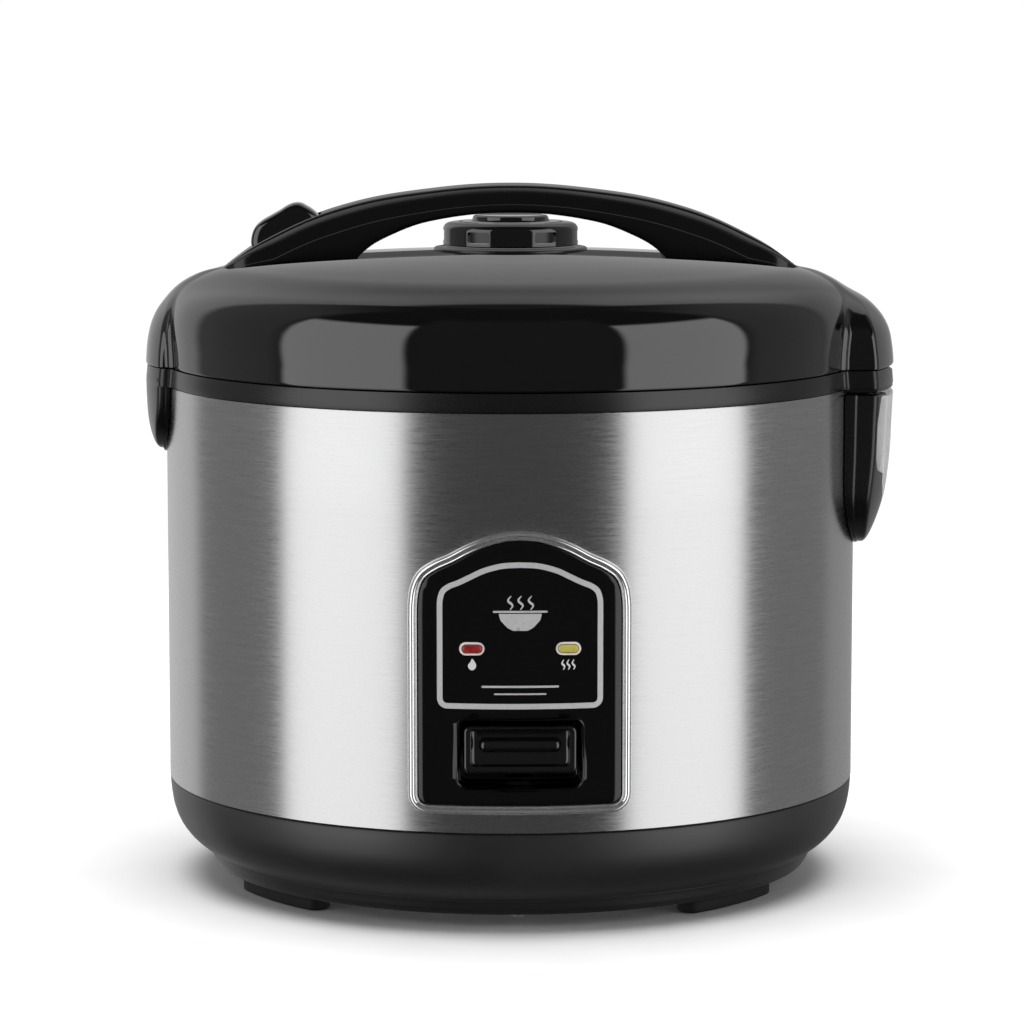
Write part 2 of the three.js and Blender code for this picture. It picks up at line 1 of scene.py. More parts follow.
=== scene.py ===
# Looks of the rice cooker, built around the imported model. Lengths below are millimetres about the body's own axis;
# make() turns them into metres in the row frame.
import bpy, bmesh, json, math
import numpy as np
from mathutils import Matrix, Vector

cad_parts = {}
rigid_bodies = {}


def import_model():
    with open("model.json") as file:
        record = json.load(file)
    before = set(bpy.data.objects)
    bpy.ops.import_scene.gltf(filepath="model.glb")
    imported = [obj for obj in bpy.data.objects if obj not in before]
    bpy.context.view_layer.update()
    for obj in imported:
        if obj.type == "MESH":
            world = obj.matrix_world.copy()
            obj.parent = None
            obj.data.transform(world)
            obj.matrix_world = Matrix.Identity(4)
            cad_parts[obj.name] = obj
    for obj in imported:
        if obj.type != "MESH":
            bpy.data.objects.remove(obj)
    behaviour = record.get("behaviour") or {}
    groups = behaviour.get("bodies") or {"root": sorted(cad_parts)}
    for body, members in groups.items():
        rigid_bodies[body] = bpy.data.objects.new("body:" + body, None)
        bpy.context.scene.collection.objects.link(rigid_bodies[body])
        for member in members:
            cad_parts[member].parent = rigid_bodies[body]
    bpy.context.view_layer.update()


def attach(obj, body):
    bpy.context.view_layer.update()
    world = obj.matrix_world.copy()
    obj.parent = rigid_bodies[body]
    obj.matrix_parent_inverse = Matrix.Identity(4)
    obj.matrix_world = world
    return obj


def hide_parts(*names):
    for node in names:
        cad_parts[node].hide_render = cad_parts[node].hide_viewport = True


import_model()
AX = -3.5
PI = math.pi
rng = np.random.default_rng(7)


# ---------------------------------------------------------------- outlines
def fillet(pts, closed=True, n=5):
    """Rounds the corners of an outline of (a, b) or (a, b, radius) points."""
    out, N = [], len(pts)
    for i, p in enumerate(pts):
        r = p[2] if len(p) > 2 else 0
        if r <= 0 or (not closed and i in (0, N - 1)):
            out.append((float(p[0]), float(p[1])))
            continue
        a, b, c = (np.array(q[:2], float) for q in (pts[i - 1], p, pts[(i + 1) % N]))
        u, v = a - b, c - b
        lu, lv = np.linalg.norm(u), np.linalg.norm(v)
        u, v = u / lu, v / lv
        ang = math.acos(max(-1.0, min(1.0, float(u @ v))))
        if ang > 3.12 or ang < 0.02:
            out.append((float(b[0]), float(b[1])))
            continue
        t = min(r / math.tan(ang / 2), 0.48 * lu, 0.48 * lv)
        rr = t * math.tan(ang / 2)
        bis = (u + v) / np.linalg.norm(u + v)
        cen = b + bis * (rr / math.sin(ang / 2))
        s, e = b + u * t - cen, b + v * t - cen
        a0 = math.atan2(s[1], s[0])
        d = (math.atan2(e[1], e[0]) - a0 + PI) % (2 * PI) - PI
        m = max(2, int(math.ceil(n * abs(d) / (PI / 2))))
        for k in range(m + 1):
            q = a0 + d * k / m
            out.append((cen[0] + rr * math.cos(q), cen[1] + rr * math.sin(q)))
    return out


def smooth_line(pts, step=2.0, closed=False):
    """Catmull-Rom through the points, with a point about every step mm."""
    P = [np.array(p, float) for p in pts]
    N = len(P)
    out = []
    for i in range(N if closed else N - 1):
        p1, p2 = P[i], P[(i + 1) % N]
        p0 = P[i - 1] if (closed or i > 0) else p1 + (p1 - p2)
        p3 = P[(i + 2) % N] if (closed or i + 2 < N) else p2 + (p2 - p1)
        L = np.linalg.norm(p2 - p1)
        k0, k1, k2 = (max(np.linalg.norm(b - a), 1e-6) ** 0.5 for a, b in ((p0, p1), (p1, p2), (p2, p3)))
        m1 = (p2 - p1) + k1 * ((p1 - p0) / k0 - (p2 - p0) / (k0 + k1))
        m2 = (p2 - p1) + k1 * ((p3 - p2) / k2 - (p3 - p1) / (k1 + k2))
        m = max(1, int(math.ceil(L / step)))
        for k in range(m):
            t = k / m
            out.append((2 * t**3 - 3 * t**2 + 1) * p1 + (t**3 - 2 * t**2 + t) * m1 + (-2 * t**3 + 3 * t**2) * p2 + (t**3 - t**2) * m2)
    if not closed:
        out.append(P[-1])
    return [tuple(float(x) for x in q) for q in out]


def area2(poly):
    P = np.array([p[:2] for p in poly], float)
    Q = np.roll(P, -1, 0)
    return float((P[:, 0] * Q[:, 1] - Q[:, 0] * P[:, 1]).sum())


def inset(poly, d):
    """The closed outline moved inwards by d (outwards when d is below 0)."""
    P = np.array(poly, float)
    s = 1.0 if area2(poly) > 0 else -1.0
    e1 = P - np.roll(P, 1, 0)
    e2 = np.roll(P, -1, 0) - P
    n1 = np.stack([-e1[:, 1], e1[:, 0]], 1) / np.maximum(np.linalg.norm(e1, axis=1, keepdims=True), 1e-9)
    n2 = np.stack([-e2[:, 1], e2[:, 0]], 1) / np.maximum(np.linalg.norm(e2, axis=1, keepdims=True), 1e-9)
    n = n1 + n2
    n /= np.maximum(np.linalg.norm(n, axis=1, keepdims=True), 1e-9)
    c = np.maximum((n * n1).sum(1, keepdims=True), 0.45)
    return [tuple(q) for q in P + s * d * n / c]


# ---------------------------------------------------------------- meshes
def make(name, verts, faces, mat, body, replaces=(), slot=None, angle=32.0, parts=None):
    V = np.asarray(verts, float) * 0.001
    V[:, 0] += AX * 0.001
    me = bpy.data.meshes.new(name)
    me.from_pydata([tuple(v) for v in V], [], [tuple(int(i) for i in f) for f in faces])
    bm = bmesh.new()
    bm.from_mesh(me)
    bmesh.ops.remove_doubles(bm, verts=bm.verts, dist=1e-7)
    bmesh.ops.dissolve_degenerate(bm, dist=1e-7, edges=bm.edges)
    bmesh.ops.recalc_face_normals(bm, faces=bm.faces)
    bm.to_mesh(me)
    bm.free()
    me.validate()
    o = bpy.data.objects.new(name, me)
    bpy.context.scene.collection.objects.link(o)
    me.materials.append(mat)
    finish_mesh(o, angle)
    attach(o, body)
    if replaces:
        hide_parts(*([replaces] if isinstance(replaces, str) else replaces))
    return o


def finish_mesh(o, angle=32.0):
    me = o.data
    for p in me.polygons:
        p.use_smooth = True
    me.set_sharp_from_angle(angle=math.radians(angle))


class Geo:
    """Vertices and faces put together before they become a mesh."""

    def __init__(self, v=None, f=None):
        self.v = [] if v is None else [tuple(x) for x in v]
        self.f = [] if f is None else list(f)

    def add(self, other):
        k = len(self.v)
        self.v += other.v
        self.f += [tuple(i + k for i in f) for f in other.f]
        return self

    def moved(self, fn):
        return Geo([fn(p) for p in self.v], self.f)


def rev(profile, seg=128, a0=0.0, a1=360.0):
    """Revolves an outline of (r, z) about the body's axis; an outline that starts and ends on the axis is open there."""
    full = abs(a1 - a0) >= 359.99
    n = seg if full else seg + 1
    pr = [(float(p[0]), float(p[1])) for p in profile]
    axis = pr[0][0] < 1e-6 and pr[-1][0] < 1e-6
    g = Geo()
    idx = []
    for r, z in pr:
        if r < 1e-6:
            g.v.append((0, 0, z))
            idx.append([len(g.v) - 1] * n)
        else:
            row = []
            for k in range(n):
                a = math.radians(a0 + (a1 - a0) * k / seg)
                g.v.append((r * math.sin(a), -r * math.cos(a), z))
                row.append(len(g.v) - 1)
            idx.append(row)
    m = len(pr)
    for i in range(m - 1 if axis else m):
        A, B = idx[i], idx[(i + 1) % m]
        for k in range(n if full else n - 1):
            q = [A[k], A[(k + 1) % n], B[(k + 1) % n], B[k]]
            q = [x for j, x in enumerate(q) if x != q[j - 1]]
            if len(q) > 2:
                g.f.append(tuple(q))
    if not full:
        g.f.append(tuple(row[0] for row in idx))
        g.f.append(tuple(row[-1] for row in reversed(idx)))
    return g


def loft(rings, closed=True, caps=True, loop=False):
    """Faces between rings that all have the same number of points."""
    g = Geo()
    n = len(rings[0])
    for r in rings:
        g.v += [tuple(p) for p in r]
    R = len(rings)
    for i in range(R if loop else R - 1):
        j = (i + 1) % R
        for k in range(n if closed else n - 1):
            g.f.append((i * n + k, i * n + (k + 1) % n, j * n + (k + 1) % n, j * n + k))
    if caps and not loop:
        g.f.append(tuple(range(n))[::-1])
        g.f.append(tuple((R - 1) * n + k for k in range(n)))
    return g


def prism(poly, axis, a, b, edge=0.0, n=3, both=True):
    """An outline drawn out along 'x', 'y' or 'z', with its end edges rounded by edge."""
    def put(p, t):
        return {"x": (t, p[0], p[1]), "y": (p[0], t, p[1]), "z": (p[0], p[1], t)}[axis]
    rings = []
    if edge > 0 and both:
        for k in range(n + 1):
            q = PI / 2 * k / n
            rings.append([put(p, a + edge * (1 - math.sin(q))) for p in inset(poly, edge * (1 - math.cos(q)))][:])
        rings = rings[::-1]
        rings = [[put(p, a + edge * (1 - math.cos(PI / 2 * k / n))) for p in inset(poly, edge * (1 - math.sin(PI / 2 * k / n)))] for k in range(n + 1)]
    else:
        rings = [[put(p, a) for p in poly]]
    if edge > 0:
        rings += [[put(p, b - edge * (1 - math.sin(PI / 2 * k / n))) for p in inset(poly, edge * (1 - math.cos(PI / 2 * k / n)))] for k in range(n + 1)]
    else:
        rings.append([put(p, b) for p in poly])
    return loft(rings)


def cyl(p0, p1, r, seg=24, edge=0.0):
    """A round bar between two points, its end edges rounded."""
    p0, p1 = np.array(p0, float), np.array(p1, float)
    d = p1 - p0
    L = np.linalg.norm(d)
    d /= L
    u = np.cross(d, [0, 0, 1.0] if abs(d[2]) < 0.9 else [1.0, 0, 0])
    u /= np.linalg.norm(u)
    w = np.cross(d, u)
    sec = [(0.0, r)] if edge <= 0 else []
    if edge > 0:
        sec = [(edge * (1 - math.cos(PI / 2 * k / 3)), r - edge * (1 - math.sin(PI / 2 * k / 3))) for k in range(4)]
    ts = [(t, q) for t, q in sec] + [(L - t, q) for t, q in reversed(sec)]
    rings = [[tuple(p0 + d * t + q * (u * math.cos(2 * PI * k / seg) + w * math.sin(2 * PI * k / seg))) for k in range(seg)] for t, q in ts]
    return loft(rings)


def tube_path(pts, r, seg=10, closed=False):
    """A round bar along a path."""
    P = [np.array(p, float) for p in pts]
    rings, n = [], None
    for i, p in enumerate(P):
        t = P[min(i + 1, len(P) - 1)] - P[max(i - 1, 0)]
        t /= np.linalg.norm(t)
        if n is None:
            n = np.cross(t, [0, 0, 1.0] if abs(t[2]) < 0.9 else [1.0, 0, 0])
        n = n - t * (n @ t)
        n /= np.linalg.norm(n)
        b = np.cross(t, n)
        rings.append([tuple(p + r * (n * math.cos(2 * PI * k / seg) + b * math.sin(2 * PI * k / seg))) for k in range(seg)])
    return loft(rings)


def helix(cx, cy, z0, z1, r, turns, dead=0.75, steps=22):
    """Centre line of a compression spring with closed ends."""
    n = int(turns * steps)
    pts = []
    for i in range(n + 1):
        t = i / n
        a = 2 * PI * turns * t
        lo, hi = dead / turns, 1 - dead / turns
        k = 0.0 if t < lo else 1.0 if t > hi else (t - lo) / (hi - lo)
        k = k * k * (3 - 2 * k) * 0.35 + k * 0.65
        pts.append((cx + r * math.cos(a), cy + r * math.sin(a), z0 + (z1 - z0) * k))
    return pts


def hidden(g, name="cutter"):
    me = bpy.data.meshes.new(name)
    V = np.asarray(g.v, float) * 0.001
    V[:, 0] += AX * 0.001
    me.from_pydata([tuple(v) for v in V], [], g.f)
    bm = bmesh.new()
    bm.from_mesh(me)
    bmesh.ops.recalc_face_normals(bm, faces=bm.faces)
    bm.to_mesh(me)
    bm.free()
    o = bpy.data.objects.new(name, me)
    bpy.context.scene.collection.objects.link(o)
    return o


def cut(o, geos, op="DIFFERENCE", solver="EXACT", angle=32.0):
    """Cuts or joins solids with o by a modifier that is then applied."""
    geos = geos if isinstance(geos, (list, tuple)) else [geos]
    tools = [hidden(g) for g in geos]
    parent = o.parent
    for t in tools:
        m = o.modifiers.new("b", "BOOLEAN")
        m.object = t
        m.operation = op
        m.solver = solver
    bpy.context.view_layer.update()
    dg = bpy.context.evaluated_depsgraph_get()
    me = bpy.data.meshes.new_from_object(o.evaluated_get(dg))
    o.modifiers.clear()
    old = o.data
    o.data = me
    me.name = o.name
    bpy.data.meshes.remove(old)
    for t in tools:
        tm = t.data
        bpy.data.objects.remove(t)
        bpy.data.meshes.remove(tm)
    while len(me.materials) > 1:
        me.materials.pop()
    for p in me.polygons:
        p.material_index = 0
    bm = bmesh.new()
    bm.from_mesh(me)
    bmesh.ops.remove_doubles(bm, verts=bm.verts, dist=2e-6)
    bmesh.ops.dissolve_degenerate(bm, dist=2e-6, edges=bm.edges)
    bm.to_mesh(me)
    bm.free()
    finish_mesh(o, angle)
    return o


def arc_pts(cx, cz, r, a0, a1, n):
    return [(cx + r * math.cos(math.radians(a0 + (a1 - a0) * k / n)), cz + r * math.sin(math.radians(a0 + (a1 - a0) * k / n))) for k in range(n + 1)]


def stadium(cx, cz, w, h, n=10):
    r, d = h / 2, w / 2 - h / 2
    return arc_pts(cx + d, cz, r, -90, 90, n) + arc_pts(cx - d, cz, r, 90, 270, n)


def polar(deg, r):
    return (r * math.sin(math.radians(deg)), -r * math.cos(math.radians(deg)))


# ---------------------------------------------------------------- materials
class Mat:
    def __init__(self, name, color, rough, metal=0.0, **sockets):
        self.m = bpy.data.materials.new(name)
        self.m.use_nodes = True
        self.nt = self.m.node_tree
        self.b = next(n for n in self.nt.nodes if n.type == "BSDF_PRINCIPLED")
        self.b.inputs["Base Color"].default_value = (*color, 1)
        self.b.inputs["Roughness"].default_value = rough
        self.b.inputs["Metallic"].default_value = metal
        for k, v in sockets.items():
            self.b.inputs[k.replace("_", " ")].default_value = v
        self.tc = self.nt.nodes.new("ShaderNodeTexCoord")

    def link(self, a, b):
        self.nt.links.new(a, b)

    def noise(self, scale, detail=3.0, rough=0.55, lac=2.0, kind="ShaderNodeTexNoise"):
        mp = self.nt.nodes.new("ShaderNodeMapping")
        mp.inputs["Scale"].default_value = scale if isinstance(scale, tuple) else (scale,) * 3
        self.link(self.tc.outputs["Object"], mp.inputs["Vector"])
        n = self.nt.nodes.new(kind)
        n.inputs["Scale"].default_value = 1.0
        if kind == "ShaderNodeTexNoise":
            n.inputs["Detail"].default_value = detail
            n.inputs["Roughness"].default_value = rough
            n.inputs["Lacunarity"].default_value = lac
            self.link(mp.outputs["Vector"], n.inputs["Vector"])
            return n.outputs["Fac"]
        self.link(mp.outputs["Vector"], n.inputs["Vector"])
        return n.outputs["Distance"]

    def remap(self, out, lo, hi, a=0.3, b=0.7, smooth=False):
        r = self.nt.nodes.new("ShaderNodeMapRange")
        r.interpolation_type = "SMOOTHSTEP" if smooth else "LINEAR"
        for k, v in (("From Min", a), ("From Max", b), ("To Min", lo), ("To Max", hi)):
            r.inputs[k].default_value = v
        self.link(out, r.inputs["Value"])
        return r.outputs["Result"]

    def math(self, op, a, b=0.0):
        n = self.nt.nodes.new("ShaderNodeMath")
        n.operation = op
        for i, x in enumerate((a, b)):
            if isinstance(x, (int, float)):
                n.inputs[i].default_value = x
            else:
                self.link(x, n.inputs[i])
        return n.outputs[0]

    def rough(self, out, lo, hi, a=0.3, b=0.7):
        self.link(self.remap(out, lo, hi, a, b), self.b.inputs["Roughness"])
        return self

    def color(self, out, c0, c1, a=0.3, b=0.7):
        mx = self.nt.nodes.new("ShaderNodeMix")
        mx.data_type = "RGBA"
        mx.inputs[6].default_value = (*c0, 1)
        mx.inputs[7].default_value = (*c1, 1)
        self.link(self.remap(out, 0, 1, a, b), mx.inputs[0])
        self.link(mx.outputs[2], self.b.inputs["Base Color"])
        return self

    def bump(self, out, strength, dist):
        n = self.nt.nodes.new("ShaderNodeBump")
        n.inputs["Strength"].default_value = strength
        n.inputs["Distance"].default_value = dist
        self.link(out, n.inputs["Height"])
        last = getattr(self, "_bump", None)
        if last is not None:
            self.link(last.outputs["Normal"], n.inputs["Normal"])
        self.link(n.outputs["Normal"], self.b.inputs["Normal"])
        self._bump = n
        return self

    def tangent(self, axis="Z"):
        t = self.nt.nodes.new("ShaderNodeTangent")
        t.direction_type = "RADIAL"
        t.axis = axis
        self.link(t.outputs["Tangent"], self.b.inputs["Tangent"])
        return self


def plastic(name, color, lo, hi, grain, grain_mm, level=0.5, fleck=0.15, wave=None):
    """Moulded plastic: a fine spark-eroded grain, a slow change of gloss, and a slightly uneven colour."""
    t = Mat(name, color, (lo + hi) / 2, Specular_IOR_Level=level)
    fine = t.noise(1.0 / (grain_mm * 0.001), 4.0, 0.6)
    slow = t.noise(26.0, 3.0, 0.5)
    mix = t.math("ADD", t.math("MULTIPLY", fine, 0.45), t.math("MULTIPLY", slow, 0.55))
    t.rough(mix, lo, hi, 0.35, 0.65)
    c1 = tuple(c * (1 + fleck) for c in color)
    c0 = tuple(c * (1 - fleck) for c in color)
    t.color(mix, c0, c1, 0.35, 0.65)
    t.bump(fine, grain, grain_mm * 0.0002)
    if wave:
        t.bump(t.noise(wave[0], 2.0, 0.5), wave[1], 0.0004)
    return t


GLOSS = plastic("gloss_black_plastic", (0.0013, 0.0013, 0.0014), 0.035, 0.085, 0.012, 0.6, 0.88, 0.1, (55.0, 0.03)).m
PANEL = plastic("gloss_panel_plastic", (0.0010, 0.0010, 0.0011), 0.04, 0.09, 0.012, 0.5, 0.5, 0.1, (60.0, 0.02)).m
# paddle: a copy of the panel's gloss black with its colour lifted, so the ridge's highlights read brighter (painted
# highlight); its rougher, stronger gloss is the part's own
PADDLE_LIT_COPY = plastic("paddle_plastic_lit_copy", (0.0020, 0.0020, 0.0022), 0.10, 0.17, 0.02, 0.4, 0.95, 0.12, (60.0, 0.02)).m
SATIN = plastic("satin_black_plastic", (0.0034, 0.0034, 0.0036), 0.20, 0.30, 0.05, 0.35, 0.6, 0.12).m
HANDLE = plastic("handle_black_plastic", (0.0030, 0.0030, 0.0032), 0.17, 0.26, 0.05, 0.35, 0.45, 0.12).m
BASE = plastic("base_charcoal_plastic", (0.0125, 0.0125, 0.0130), 0.34, 0.46, 0.16, 0.45, 0.80, 0.2).m
INNER = plastic("inner_frame_plastic", (0.022, 0.022, 0.023), 0.42, 0.55, 0.18, 0.5, 0.4, 0.2).m
RUBBER = plastic("foot_rubber", (0.010, 0.010, 0.010), 0.62, 0.8, 0.25, 0.5, 0.3, 0.25).m
SILICONE = plastic("grey_silicone", (0.50, 0.50, 0.485), 0.42, 0.55, 0.08, 0.8, 0.45, 0.05)
SILICONE.b.inputs["Subsurface Weight"].default_value = 0.25
SILICONE.b.inputs["Subsurface Radius"].default_value = (0.002, 0.002, 0.0018)
SILICONE = SILICONE.m


def brushed(name, color, lo, hi, along, across, aniso, rot, bump=0.12, spread=0.10, axis="Z", flat=False):
    """Metal with brush lines that run round the axis (or, when flat, in circles on a face turned about it)."""
    t = Mat(name, color, (lo + hi) / 2, 1.0)
    if flat:
        sx = t.nt.nodes.new("ShaderNodeSeparateXYZ")
        t.link(t.tc.outputs["Object"], sx.inputs[0])
        x = t.math("SUBTRACT", sx.outputs[0], AX * 0.001)
        r = t.math("SQRT", t.math("ADD", t.math("MULTIPLY", x, x), t.math("MULTIPLY", sx.outputs[1], sx.outputs[1])))
        cb = t.nt.nodes.new("ShaderNodeCombineXYZ")
        t.link(t.math("MULTIPLY", r, across), cb.inputs[0])
        t.link(t.math("MULTIPLY", sx.outputs[2], across), cb.inputs[1])
        t.link(t.math("MULTIPLY", x, along), cb.inputs[2])
        n = t.nt.nodes.new("ShaderNodeTexNoise")
        n.inputs["Scale"].default_value = 1.0
        n.inputs["Detail"].default_value = 5.0
        n.inputs["Roughness"].default_value = 0.65
        t.link(cb.outputs[0], n.inputs["Vector"])
        s = n.outputs["Fac"]
    else:
        s1 = t.noise((along, along, across), 5.0, 0.7)
        s2 = t.noise((along * 3.1, along * 3.1, across * 2.7), 3.0, 0.6)
        s = t.math("ADD", t.math("MULTIPLY", s1, 0.6), t.math("MULTIPLY", s2, 0.4))
    t.rough(s, lo, hi, 0.34, 0.66)
    t.color(s, tuple(c * (1 - spread) for c in color), tuple(min(1, c * (1 + spread)) for c in color), 0.34, 0.66)
    t.bump(s, bump, 0.00006)
    t.b.inputs["Anisotropic"].default_value = aniso
    t.b.inputs["Anisotropic Rotation"].default_value = rot
    t.tangent(axis)
    return t


STEEL = brushed("brushed_stainless_steel", (0.53, 0.53, 0.535), 0.22, 0.34, 55.0, 1500.0, 0.75, 0.25, 0.16, 0.10).m
ALU = brushed("spun_aluminium", (0.62, 0.62, 0.63), 0.24, 0.36, 30.0, 1300.0, 0.5, 0.0, 0.10, 0.06, flat=True).m
LINER = brushed("drawn_aluminium", (0.55, 0.55, 0.56), 0.30, 0.45, 40.0, 700.0, 0.4, 0.25, 0.08, 0.08).m
HEATER = brushed("cast_heater_plate", (0.50, 0.50, 0.51), 0.30, 0.46, 60.0, 900.0, 0.4, 0.0, 0.14, 0.10, flat=True).m

ZINC = Mat("zinc_plate", (0.50, 0.50, 0.49), 0.3, 1.0)
_z = ZINC.noise(420.0, 4.0, 0.6)
ZINC.rough(_z, 0.22, 0.42).color(_z, (0.44, 0.445, 0.44), (0.58, 0.575, 0.55)).bump(_z, 0.06, 0.0001)
ZINC = ZINC.m
CHROME = Mat("polished_chrome", (0.80, 0.80, 0.81), 0.06, 1.0)
_c = CHROME.noise(90.0, 3.0, 0.5)
CHROME.rough(_c, 0.035, 0.10).color(_c, (0.76, 0.76, 0.775), (0.84, 0.84, 0.85)).bump(CHROME.noise(160.0, 2.0), 0.03, 0.0002)
CHROME = CHROME.m
TRIM = Mat("bright_trim", (0.86, 0.86, 0.865), 0.07, 0.92, Specular_IOR_Level=0.6)
_t = TRIM.noise(90.0, 3.0, 0.5)
TRIM.rough(_t, 0.045, 0.085).color(_t, (0.83, 0.83, 0.835), (0.89, 0.89, 0.895)).bump(TRIM.noise(160.0, 2.0), 0.03, 0.0002)
TRIM = TRIM.m
POT = Mat("nonstick_coating", (0.050, 0.050, 0.052), 0.36, 0.15, Specular_IOR_Level=0.5)
_p = POT.noise(1900.0, 3.0, 0.7)
POT.rough(_p, 0.30, 0.46).color(_p, (0.032, 0.032, 0.034), (0.085, 0.085, 0.088), 0.42, 0.68).bump(_p, 0.10, 0.0001)
POT = POT.m
CLEAR = Mat("clear_plastic", (0.90, 0.915, 0.92), 0.06, 0.0, IOR=1.28, Transmission_Weight=0.70)
_k = CLEAR.noise(70.0, 3.0, 0.5)
CLEAR.rough(_k, 0.10, 0.20).color(_k, (0.955, 0.96, 0.963), (0.98, 0.985, 0.988)).bump(_k, 0.04, 0.0003)
CLEAR = CLEAR.m


def lens(name, c0, c1):
    t = Mat(name, c1, 0.14, 0.0, Transmission_Weight=0.25, IOR=1.5, Coat_Weight=0.4, Coat_Roughness=0.06)
    n = t.noise(420.0, 3.0, 0.5)
    return t.rough(n, 0.10, 0.22).color(n, c0, c1).bump(n, 0.05, 0.0002).m


RED = lens("red_lens", (0.24, 0.010, 0.012), (0.36, 0.020, 0.022))
YELLOW = lens("yellow_lens", (0.52, 0.46, 0.075), (0.64, 0.58, 0.13))


def ink(name, c, rough=0.35, metal=0.0):
    t = Mat(name, c, rough, metal)
    n = t.noise(1500.0, 3.0, 0.6)
    return t.rough(n, rough * 0.85, rough * 1.2).color(n, tuple(q * 0.93 for q in c), tuple(min(1, q * 1.07) for q in c)).bump(n, 0.04, 0.00005).m


INK = ink("silver_print", (0.56, 0.56, 0.565), 0.34, 0.35)
MARK = ink("pale_print", (0.56, 0.56, 0.56), 0.4, 0.0)
RING = ink("lens_rim", (0.66, 0.60, 0.58), 0.3, 0.0)
FERRITE = ink("sintered_ferrite", (0.035, 0.035, 0.037), 0.55, 0.3)
CERAMIC = ink("steatite_ceramic", (0.62, 0.58, 0.50), 0.6)
BOARD = ink("board_laminate", (0.02, 0.12, 0.045), 0.4)
WRAP = Mat("woven_wrap", (0.24, 0.20, 0.13), 0.75)
_w = WRAP.noise((1500.0, 1500.0, 1500.0), 2.0, 0.5)
WRAP.rough(_w, 0.65, 0.85).color(_w, (0.17, 0.14, 0.09), (0.32, 0.27, 0.18)).bump(_w, 0.5, 0.0003)
WRAP = WRAP.m
GLASS = Mat("lamp_glass", (0.92, 0.86, 0.80), 0.05, 0.0, Transmission_Weight=0.85, IOR=1.5)
_g = GLASS.noise(500.0)
GLASS.rough(_g, 0.03, 0.10).color(_g, (0.9, 0.82, 0.74), (0.95, 0.9, 0.86))
GLASS = GLASS.m


# ---------------------------------------------------------------- base, feet, steel sleeve
BOWL = smooth_line([(129.9, 37.9), (129.55, 33.0), (128.5, 27.0), (126.6, 22.0), (123.6, 17.6), (120.2, 14.4), (117.0, 12.2)], 1.1)
BOWL = [(129.45, 37.9)] + [(129.9, 37.45)] + BOWL[1:] + fillet([(117.0, 12.2), (116.2, 11.6, 0.5), (116.0, 10.9, 0.25), (115.1, 10.4, 0.3), (114.1, 7.6, 2.0), (112.4, 5.1, 1.0), (101.0, 5.0)], False, 4)[1:]
BOWL_IN = fillet([(101.0, 8.2), (111.5, 8.2, 1.0), (114.2, 12.6, 2.0), (124.4, 24.0, 8.0), (126.8, 37.9)], False, 5)
base = make("base_bowl_moulding", *(lambda g: (g.v, g.f))(rev(BOWL + BOWL_IN, 192)), BASE, "root", "base_bowl", "charcoal_base", 30)
cut(base, [cyl((*polar(a, 105), 2), (*polar(a, 105), 14), 1.8, 20) for a in (0, 90, 180, 270)], angle=30)

plate = prism([(109 * math.cos(2 * PI * k / 128), 109 * math.sin(2 * PI * k / 128)) for k in range(128)], "z", 8.5, 9.9, 0.3, 2)
o = make("bottom_plate_pressing", plate.v, plate.f, ZINC, "root", "bottom_plate", "zinc_steel", 30)
slots = [prism(stadium(0, i * 14, 52, 4, 6), "z", 5, 14) for i in (-2, -1, 0, 1, 2)]
slots += [prism(stadium(sx * 62, i * 14, 30, 4, 6), "z", 5, 14) for i in (-1, 0, 1) for sx in (-1, 1)]
slots += [cyl((*polar(a, 105), 2), (*polar(a, 105), 14), 1.8, 20) for a in (0, 90, 180, 270)]
cut(o, slots, angle=30)


def screw(name, at, r, h, length, d, mat, body, node, slot, shank=1.5):
    """A pan-head screw with a cross recess. at is the top of its head, d the way it points out (+1 up, -1 down)."""
    x, y, z = at
    prof = [(0.0, 0.0), (r * 0.55, -0.06 * h), (r * 0.86, -0.30 * h), (r, -0.62 * h), (r, -h), (shank, -h), (shank, -length + 1.0), (shank * 0.3, -length), (0, -length)]
    g = rev(prof, 32).moved(lambda p: (p[0] + x, p[1] + y, z + d * p[2]))
    o = make(name, g.v, g.f, mat, body, node, slot, 35)
    k = h * 0.62
    arms = []
    for a in (0, PI / 2):
        c, s = math.cos(a), math.sin(a)
        sec = []
        for L, W, t in ((r * 0.30, 0.16 * r, -k), (r * 0.66, 0.20 * r, 0.3)):
            sec.append([(x + c * u - s * v, y + s * u + c * v, z + d * t) for u, v in ((-L, -W), (L, -W), (L, W), (-L, W))])
        arms.append(loft(sec))
    cut(o, arms, angle=35)
    return o


for i, a in enumerate((0, 90, 180, 270)):
    px, py = polar(a, 105)
    screw("base_screw_pan_%d" % (i + 1), (px, py, 3.0), 3.0, 1.75, 10.8, -1, ZINC, "root", "base_screw_%d" % (i + 1), "zinc_steel")

